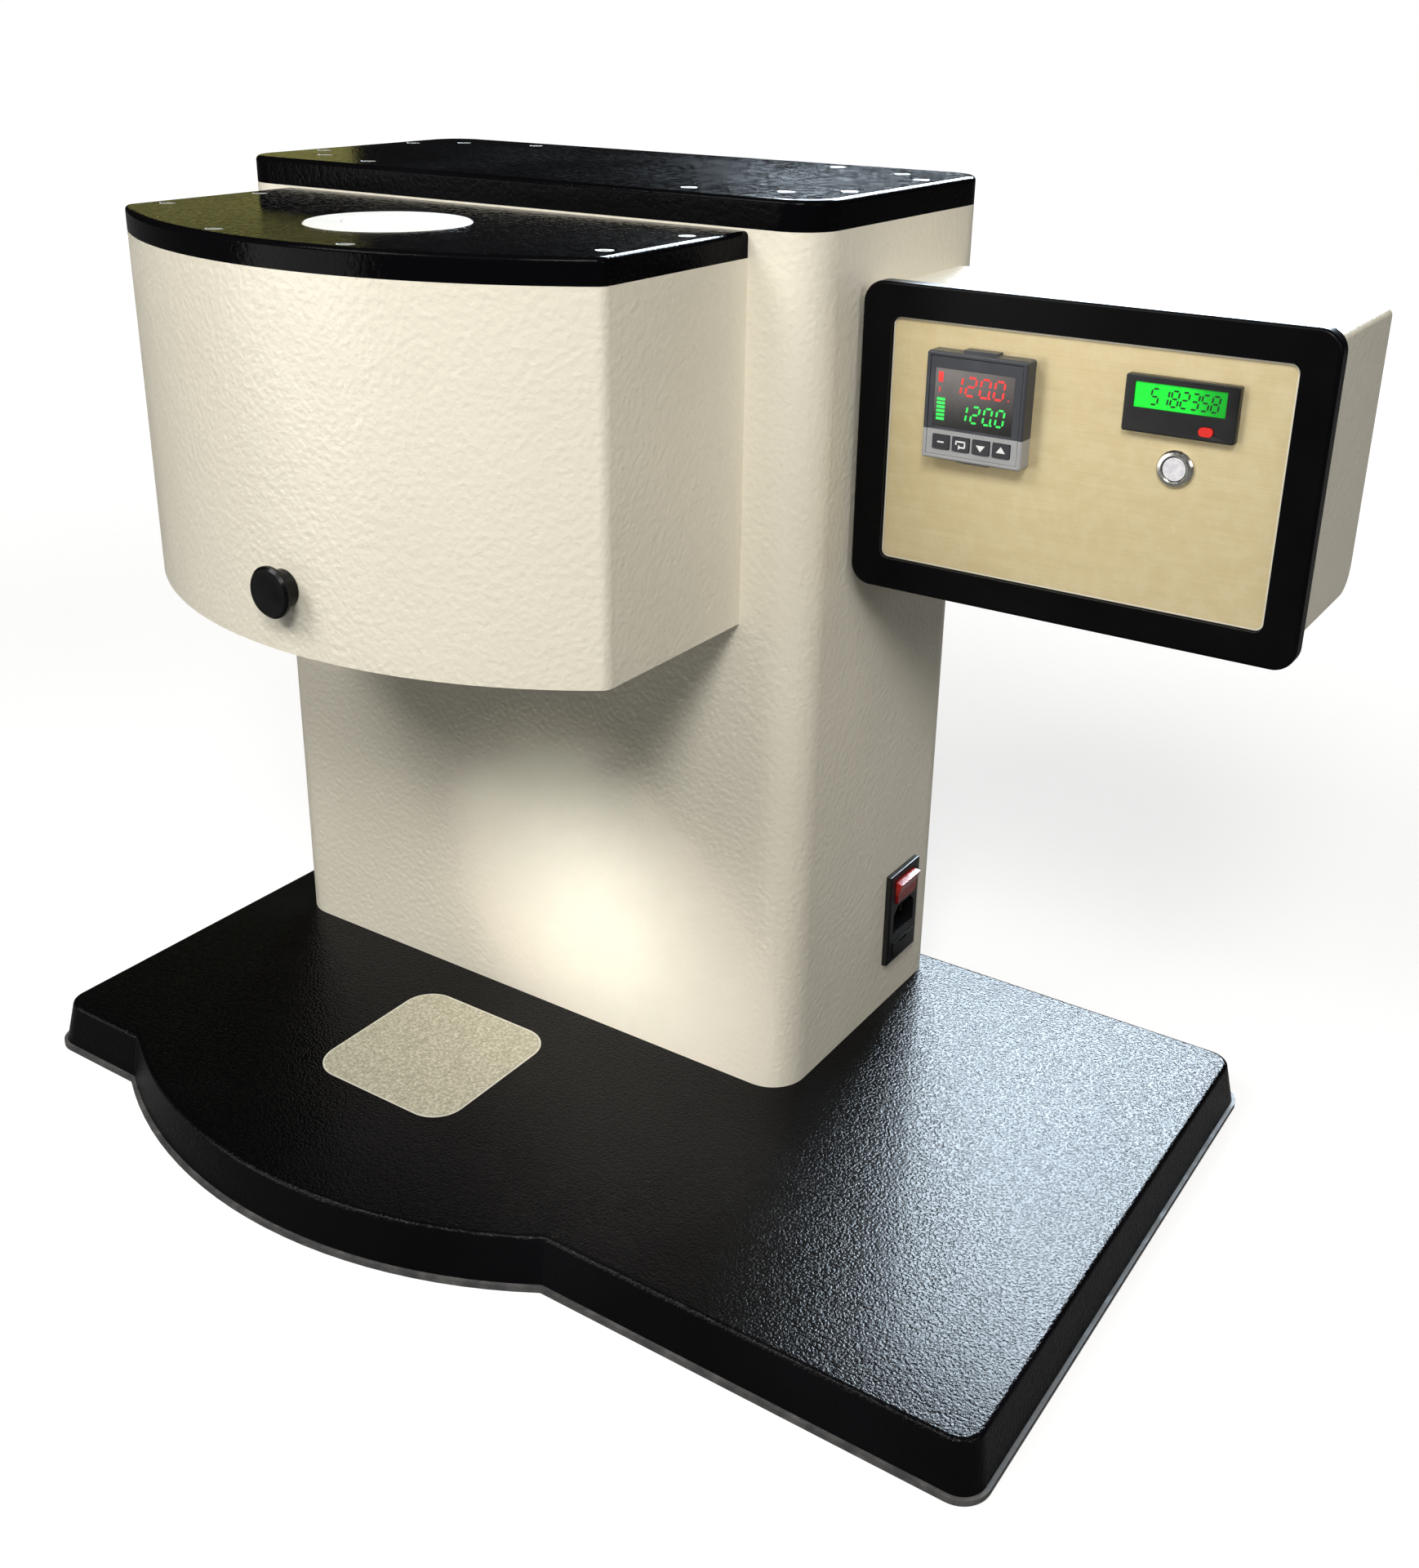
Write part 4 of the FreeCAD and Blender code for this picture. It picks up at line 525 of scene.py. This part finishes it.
def grow(shape, edges, move):
    """Extrudes open edges and moves them; gives their new vertices and edges."""
    grown = bmesh.ops.extrude_edge_only(shape, edges=edges)["geom"]
    verts = [part for part in grown if isinstance(part, bmesh.types.BMVert)]
    bmesh.ops.translate(shape, verts=verts, vec=move)
    return verts, [part for part in grown if isinstance(part, bmesh.types.BMEdge)]


def countersunk_screw(shape, top, radius, shank, length):
    """A screw head flush at its top, with a hexagon socket."""
    at = Matrix.Translation(top)
    ring = edges_of(bmesh.ops.create_circle(shape, segments=28, radius=radius, matrix=at)["verts"])
    hexagon = edges_of(bmesh.ops.create_circle(shape, segments=6, radius=radius * SOCKET_RADIUS,
                                               matrix=at)["verts"])
    bmesh.ops.bridge_loops(shape, edges=ring + hexagon)
    _, deep = grow(shape, hexagon, (0, 0, -radius * SOCKET_DEPTH))
    bmesh.ops.contextual_create(shape, geom=deep)
    for drop, size in ((radius * HEAD_RIM, 1.0), (radius - shank, shank / radius), (length, 1.0)):
        verts, ring = grow(shape, ring, (0, 0, -drop))
        bmesh.ops.scale(shape, verts=verts, vec=(size, size, 1), space=Matrix.Translation(-top))
    bmesh.ops.contextual_create(shape, geom=ring)


def cover_screws(name, node, places, level):
    """A cover's screws; the places, in millimetres, are those on its right half."""
    shape = bmesh.new()
    for side in (-1, 1):
        for x, y in places:
            top = Vector((side * x * MM, y * MM, level - COVER_SCREW_SUNK))
            countersunk_screw(shape, top, COVER_SCREW_RADIUS, COVER_SCREW_SHANK, COVER_SCREW_LENGTH)
    piece(name, shape, "screw", "frame", [node])


# Displays

SEGMENTS = {
    "0": "abcdef", "1": "bc", "2": "abged", "3": "abgcd", "4": "fgbc",
    "5": "afgcd", "6": "afgecd", "7": "abc", "8": "abcdefg", "9": "abcdfg",
}
# Each bar's middle across and up, as shares of the figure, and whether it lies flat
SEGMENT_PLACES = {
    "a": (0.0, 1.0, True), "g": (0.0, 0.5, True), "d": (0.0, 0.0, True),
    "b": (0.5, 0.75, False), "c": (0.5, 0.25, False),
    "f": (-0.5, 0.75, False), "e": (-0.5, 0.25, False),
}
LEAN = Matrix(((1, 0, 0.12, 0), (0, 1, 0, 0), (0, 0, 1, 0), (0, 0, 0, 1)))
POINT = 0.42
FIGURE_DEPTH = 0.1 * MM
MARK_DEPTH = 0.08 * MM
KEY_PITCH = 9.7 * MM
KEY_LEVEL = 8 * MM


def bar(shape, centre, across, up, depth, pointed=True, lean=Matrix.Identity(4)):
    """A thin flat bar facing the front, with pointed ends where it is a segment."""
    place = Matrix.Translation(centre) @ lean @ Matrix.Diagonal((across, depth, up, 1.0))
    verts = bmesh.ops.create_cube(shape, size=1.0, matrix=place)["verts"]
    if pointed:
        ends = [e for e in edges_of(verts) if abs(e.verts[0].co.y - e.verts[1].co.y) > depth / 2]
        bmesh.ops.bevel(shape, geom=ends, offset=min(across, up) * POINT, segments=1, profile=0.5,
                        affect="EDGES", material=-1)


def digits(shape, text, left, low, face, width, height, pitch, stroke):
    """Seven-segment figures from the left, leaning a little."""
    gap = stroke * 1.1
    x = left
    for sign in text:
        if sign == ".":
            point = Vector((x - pitch + width + 0.5 * stroke, face, low))
            bar(shape, point, stroke, stroke, FIGURE_DEPTH, False)
            continue
        for name in SEGMENTS[sign]:
            dx, up, flat = SEGMENT_PLACES[name]
            long = (width if flat else height / 2) - gap
            across, tall = (long, stroke) if flat else (stroke, long)
            place = Vector((dx * width, 0, up * height))
            centre = LEAN @ place + Vector((x + width / 2, face, low))
            bar(shape, centre, across, tall, FIGURE_DEPTH, True, LEAN)
        x += pitch


def bars(shape, corner, rows, depth):
    """Plain bars; a row is x, z, width and height in millimetres, its place from the corner."""
    for x, z, across, up in rows:
        centre = corner + Vector((x * MM, 0, z * MM))
        bar(shape, centre, across * MM, up * MM, depth, False)


def controller_display():
    """Red measured value over a green set value, with the small lit signs beside them."""
    corner = CONTROLLER + Vector((-19.5, 0.37, -9.3)) * MM
    face, left, low = corner.y, corner.x, corner.z
    red = bmesh.new()
    digits(red, "120.0", left + 8.2 * MM, low + 15.3 * MM, face,
           width=4.3 * MM, height=8.0 * MM, pitch=6.7 * MM, stroke=0.95 * MM)
    bars(red, corner, ((2.8, 22.2, 2.2, 4.4), (2.5, 16.6, 0.5, 2.0), (35.4, 15.4, 0.6, 0.6)),
         FIGURE_DEPTH)
    piece("red_digits", red, "red_digit", "frame")
    green = bmesh.new()
    digits(green, "120.0", left + 12.2 * MM, low + 3.6 * MM, face,
           width=3.5 * MM, height=7.2 * MM, pitch=5.9 * MM, stroke=0.9 * MM)
    bars(green, corner, [(3.5, 3.6 + 1.75 * i, 4.0, 1.15) for i in range(6)], FIGURE_DEPTH)
    piece("green_digits", green, "green_digit", "frame")


def counter_display():
    """Dark figures on the lit green window."""
    dark = bmesh.new()
    digits(dark, "5182358", COUNTER.x - 13.0 * MM, COUNTER.z + 0.3 * MM, COUNTER.y + 0.47 * MM,
           width=3.0 * MM, height=6.6 * MM, pitch=4.25 * MM, stroke=0.75 * MM)
    piece("counter_digits", dark, "dark_digit", "frame")


def triangle(shape, centre, radius, turn):
    """A thin three-sided mark whose point is up before it is turned."""
    stand = Matrix.Rotation(math.radians(90), 4, "X")
    spin = Matrix.Rotation(math.radians(-turn), 4, "Y")
    flat = Matrix.Diagonal((1.2, 0.9, 1.0, 1.0))
    bmesh.ops.create_cone(shape, cap_ends=True, segments=3, radius1=radius, radius2=radius,
                          depth=MARK_DEPTH, matrix=Matrix.Translation(centre) @ spin @ stand @ flat)


def key_symbols():
    """A dash, a turning arrow, a down arrow and an up arrow, from the left."""
    first = CONTROLLER + Vector((-1.5 * KEY_PITCH, -0.42 * MM, KEY_LEVEL - CONTROLLER_HALF))
    places = [first + Vector((i * KEY_PITCH, 0, 0)) for i in range(4)]
    dash = bmesh.new()
    bar(dash, places[0], 3.4 * MM, 0.7 * MM, MARK_DEPTH, True)
    piece("set_mark", dash, "symbol", "set")
    loop = bmesh.new()
    bars(loop, places[1], ((0, 1.3, 4.6, 0.7), (2.1, 0.1, 0.7, 2.6), (-2.1, 0.6, 0.7, 1.6),
                           (1.2, -1.2, 2.0, 0.7)), MARK_DEPTH)
    triangle(loop, places[1] + Vector((-0.5, 0, -1.2)) * MM, 1.1 * MM, -90)
    piece("shift_mark", loop, "symbol", "shift")
    for name, place, turn in (("down", places[2], 180), ("up", places[3], 0)):
        arrow = bmesh.new()
        triangle(arrow, place, 2.1 * MM, turn)
        piece(f"{name}_mark", arrow, "symbol", name)


# Studio

ROOM_LIGHT = 0.165
ROOM_COLOUR = (0.97, 0.98, 1.0, 1.0)
PALE_FRONT = 0.16
DIM_BACK = 0.01
WARM = (1.0, 0.98, 0.93)
WINDOW_BLUE = (0.75, 0.88, 1.0)
WALL_OLIVE = (1.0, 0.95, 0.3)

PHOTO_WIDTH, PHOTO_HEIGHT = 1738, 1920
FOCAL_LENGTH = 2068.47
PICTURE_CENTRE = (852.17, 841.19)
CAMERA_PLACE = (0.54753, -0.56832, 0.5577)
AZIMUTH, ELEVATION, ROLL = (math.radians(angle) for angle in (33.694, 22.043, 0.775))
SENSOR = 36.0

BENCH_SIZE = 6.0
BENCH_LEVEL = -0.4 * MM
NEAR_GLOW = (0.62, 0.62, 0.62)
WHITE = (1.0, 1.0, 1.0)
BLACK = (0.0, 0.0, 0.0)


def lamp(name, place, target, width, height, power, colour=WARM, spread=180, seen_by="all"):
    """An area lamp; seen_by limits it to the gloss or to the matt part of a finish."""
    light = bpy.data.lights.new(name, "AREA")
    light.spread = math.radians(spread)
    light.shape = "RECTANGLE"
    light.size, light.size_y = width, height
    light.energy = power
    light.color = colour
    holder = bpy.data.objects.new(name, light)
    holder.location = place
    holder.rotation_mode = "QUATERNION"
    holder.rotation_quaternion = (Vector(target) - Vector(place)).to_track_quat("-Z", "Y")
    holder.visible_camera = False
    holder.visible_diffuse = seen_by != "gloss"
    holder.visible_glossy = seen_by != "matt"
    bpy.context.scene.collection.objects.link(holder)


def camera():
    """The photograph's view; its focal length and centre are in pixels of the photograph."""
    data = bpy.data.cameras.new("view")
    data.sensor_width = SENSOR
    data.lens = FOCAL_LENGTH / PHOTO_HEIGHT * SENSOR
    data.shift_x = (PHOTO_WIDTH / 2 - PICTURE_CENTRE[0]) / PHOTO_HEIGHT
    data.shift_y = (PICTURE_CENTRE[1] - PHOTO_HEIGHT / 2) / PHOTO_HEIGHT
    data.clip_start, data.clip_end = 0.01, 100.0
    holder = bpy.data.objects.new("view", data)
    back = Vector((math.sin(AZIMUTH) * math.cos(ELEVATION),
                   -math.cos(AZIMUTH) * math.cos(ELEVATION),
                   math.sin(ELEVATION)))
    holder.location = CAMERA_PLACE
    holder.rotation_mode = "QUATERNION"
    holder.rotation_quaternion = back.to_track_quat("Z", "Y") @ Quaternion((0, 0, 1), ROLL)
    bpy.context.scene.collection.objects.link(holder)
    bpy.context.scene.camera = holder


def world():
    """Low even room light; the camera sees white, and gloss sees a pale front and a dim back."""
    room = bpy.data.worlds.new("studio")
    bpy.context.scene.world = room
    room.use_nodes = True
    nodes, links = room.node_tree.nodes, room.node_tree.links
    nodes.clear()
    output = nodes.new("ShaderNodeOutputWorld")
    path = nodes.new("ShaderNodeLightPath")
    ambient, backdrop, reflected = (nodes.new("ShaderNodeBackground") for _ in range(3))
    ambient.inputs["Color"].default_value = ROOM_COLOUR
    ambient.inputs["Strength"].default_value = ROOM_LIGHT
    backdrop.inputs["Color"].default_value = (*WHITE, 1.0)
    direction = nodes.new("ShaderNodeTexCoord")
    split = nodes.new("ShaderNodeSeparateXYZ")
    fade = nodes.new("ShaderNodeMapRange")
    fade.interpolation_type = "SMOOTHSTEP"
    for name, value in {"From Min": 0.1, "From Max": -0.6,
                        "To Min": DIM_BACK, "To Max": PALE_FRONT}.items():
        fade.inputs[name].default_value = value
    links.new(direction.outputs["Generated"], split.inputs[0])
    links.new(split.outputs["Y"], fade.inputs["Value"])
    links.new(fade.outputs[0], reflected.inputs["Strength"])
    mirror = nodes.new("ShaderNodeMath")
    mirror.operation = "MAXIMUM"
    links.new(path.outputs["Is Glossy Ray"], mirror.inputs[0])
    links.new(path.outputs["Is Transmission Ray"], mirror.inputs[1])
    last = ambient
    for factor, second in ((mirror.outputs[0], reflected),
                           (path.outputs["Is Camera Ray"], backdrop)):
        mix = nodes.new("ShaderNodeMixShader")
        links.new(factor, mix.inputs[0])
        links.new(last.outputs[0], mix.inputs[1])
        links.new(second.outputs[0], mix.inputs[2])
        last = mix
    links.new(last.outputs[0], output.inputs["Surface"])


def floor():
    """A pale bench top that stays white to the camera and keeps the object's shadow."""
    shape = bmesh.new()
    bmesh.ops.create_grid(shape, x_segments=2, y_segments=2, size=BENCH_SIZE,
                          matrix=Matrix.Translation((0, 0, BENCH_LEVEL)))
    mesh = bpy.data.meshes.new("bench")
    shape.to_mesh(mesh)
    shape.free()
    bench = bpy.data.objects.new("bench", mesh)
    bpy.context.scene.collection.objects.link(bench)
    paper = Finish("bench_paper", Specular_IOR_Level=0.0, Roughness=0.9, Emission_Strength=1.0)
    seen = paper.add("ShaderNodeLightPath", out="Is Camera Ray")
    mirrored = paper.add("ShaderNodeLightPath", out="Is Glossy Ray")
    shade = paper.blend(paper.noise(3.0), (0.44, 0.44, 0.44), (0.48, 0.48, 0.48))
    paper.give(Base_Color=paper.blend(seen, (0.12, 0.12, 0.12), shade))
    x, y, _ = paper.axes()
    far = (x * x + y * y).root().ramp(0.7, 2.4)
    glow = paper.blend(seen, BLACK, paper.blend(far, NEAR_GLOW, WHITE))
    paper.give(Emission_Color=paper.blend(mirrored, glow, (PALE_FRONT * 0.5,) * 3))
    mesh.materials.append(paper.material)


def lights():
    """Lamps all round; only gloss sees the window, the wall and the sheen."""
    middle = (0.0, 0.0, 0.3)
    lamp("overhead", (-0.05, -1.5, 1.85), middle, 2.3, 1.1, 10)
    lamp("left", (-0.7, -1.3, 1.7), middle, 0.9, 0.6, 19)
    lamp("key", (0.75, -1.12, 1.5), middle, 0.5, 0.5, 20)
    lamp("side", (1.8, -0.35, 1.0), middle, 0.6, 0.6, 5)
    lamp("foot_glow", (-0.5, -0.92, 0.62), (0.06, 0.075, 0.09), 0.03, 0.03, 0.042, spread=10)
    lamp("back", (0.2, 2.4, 1.3), middle, 1.6, 1.0, 20, seen_by="matt")
    lamp("window", (-0.2, 1.48, 1.24), (0.28, 0.08, 0.03), 1.05, 0.8, 180, WINDOW_BLUE,
         seen_by="gloss")
    lamp("wall", (-2.51, 1.9, 0.71), (-0.15, 0.05, 0.47), 0.85, 0.3, 0.4, WALL_OLIVE,
         seen_by="gloss")
    lamp("sheen", (-0.85, -1.3, 0.35), (0.22, 0.117, 0.4), 0.9, 0.7, 8, seen_by="gloss")


# Piece, node that it replaces, finish, body, slot and width of its eased edges in millimetres
EASED = (
    ("mains_inlet_fine", "inlet_housing", "black_plastic", "frame", "black_plastic", 0.35),
    ("power_rocker_fine", "power_rocker", "rocker", "rocker", "red_plastic", 0.4),
    ("fuse_drawer_fine", "fuse_drawer", "black_plastic", "drawer", "black_plastic", 0.25),
    ("controller_case_fine", "controller_case", "controller", "frame", "instrument_grey", 0.25),
    ("counter_case_fine", "counter_case", "black_plastic", "frame", "black_plastic", 0.2),
)


def main():
    dress_nodes()
    for name, node, finish, body, slot, width in EASED:
        bevelled(name, node, finish, body, width * MM)
    cover_screws("column_cover_screws_fine", "column_cover_screws", COLUMN_SCREWS, COLUMN_COVER_TOP)
    cover_screws("head_cover_screws_fine", "head_cover_screws", HEAD_SCREWS, HEAD_COVER_TOP)
    controller_display()
    counter_display()
    key_symbols()
    camera()
    world()
    floor()
    lights()
    bpy.context.scene.view_settings.view_transform = "Standard"


main()
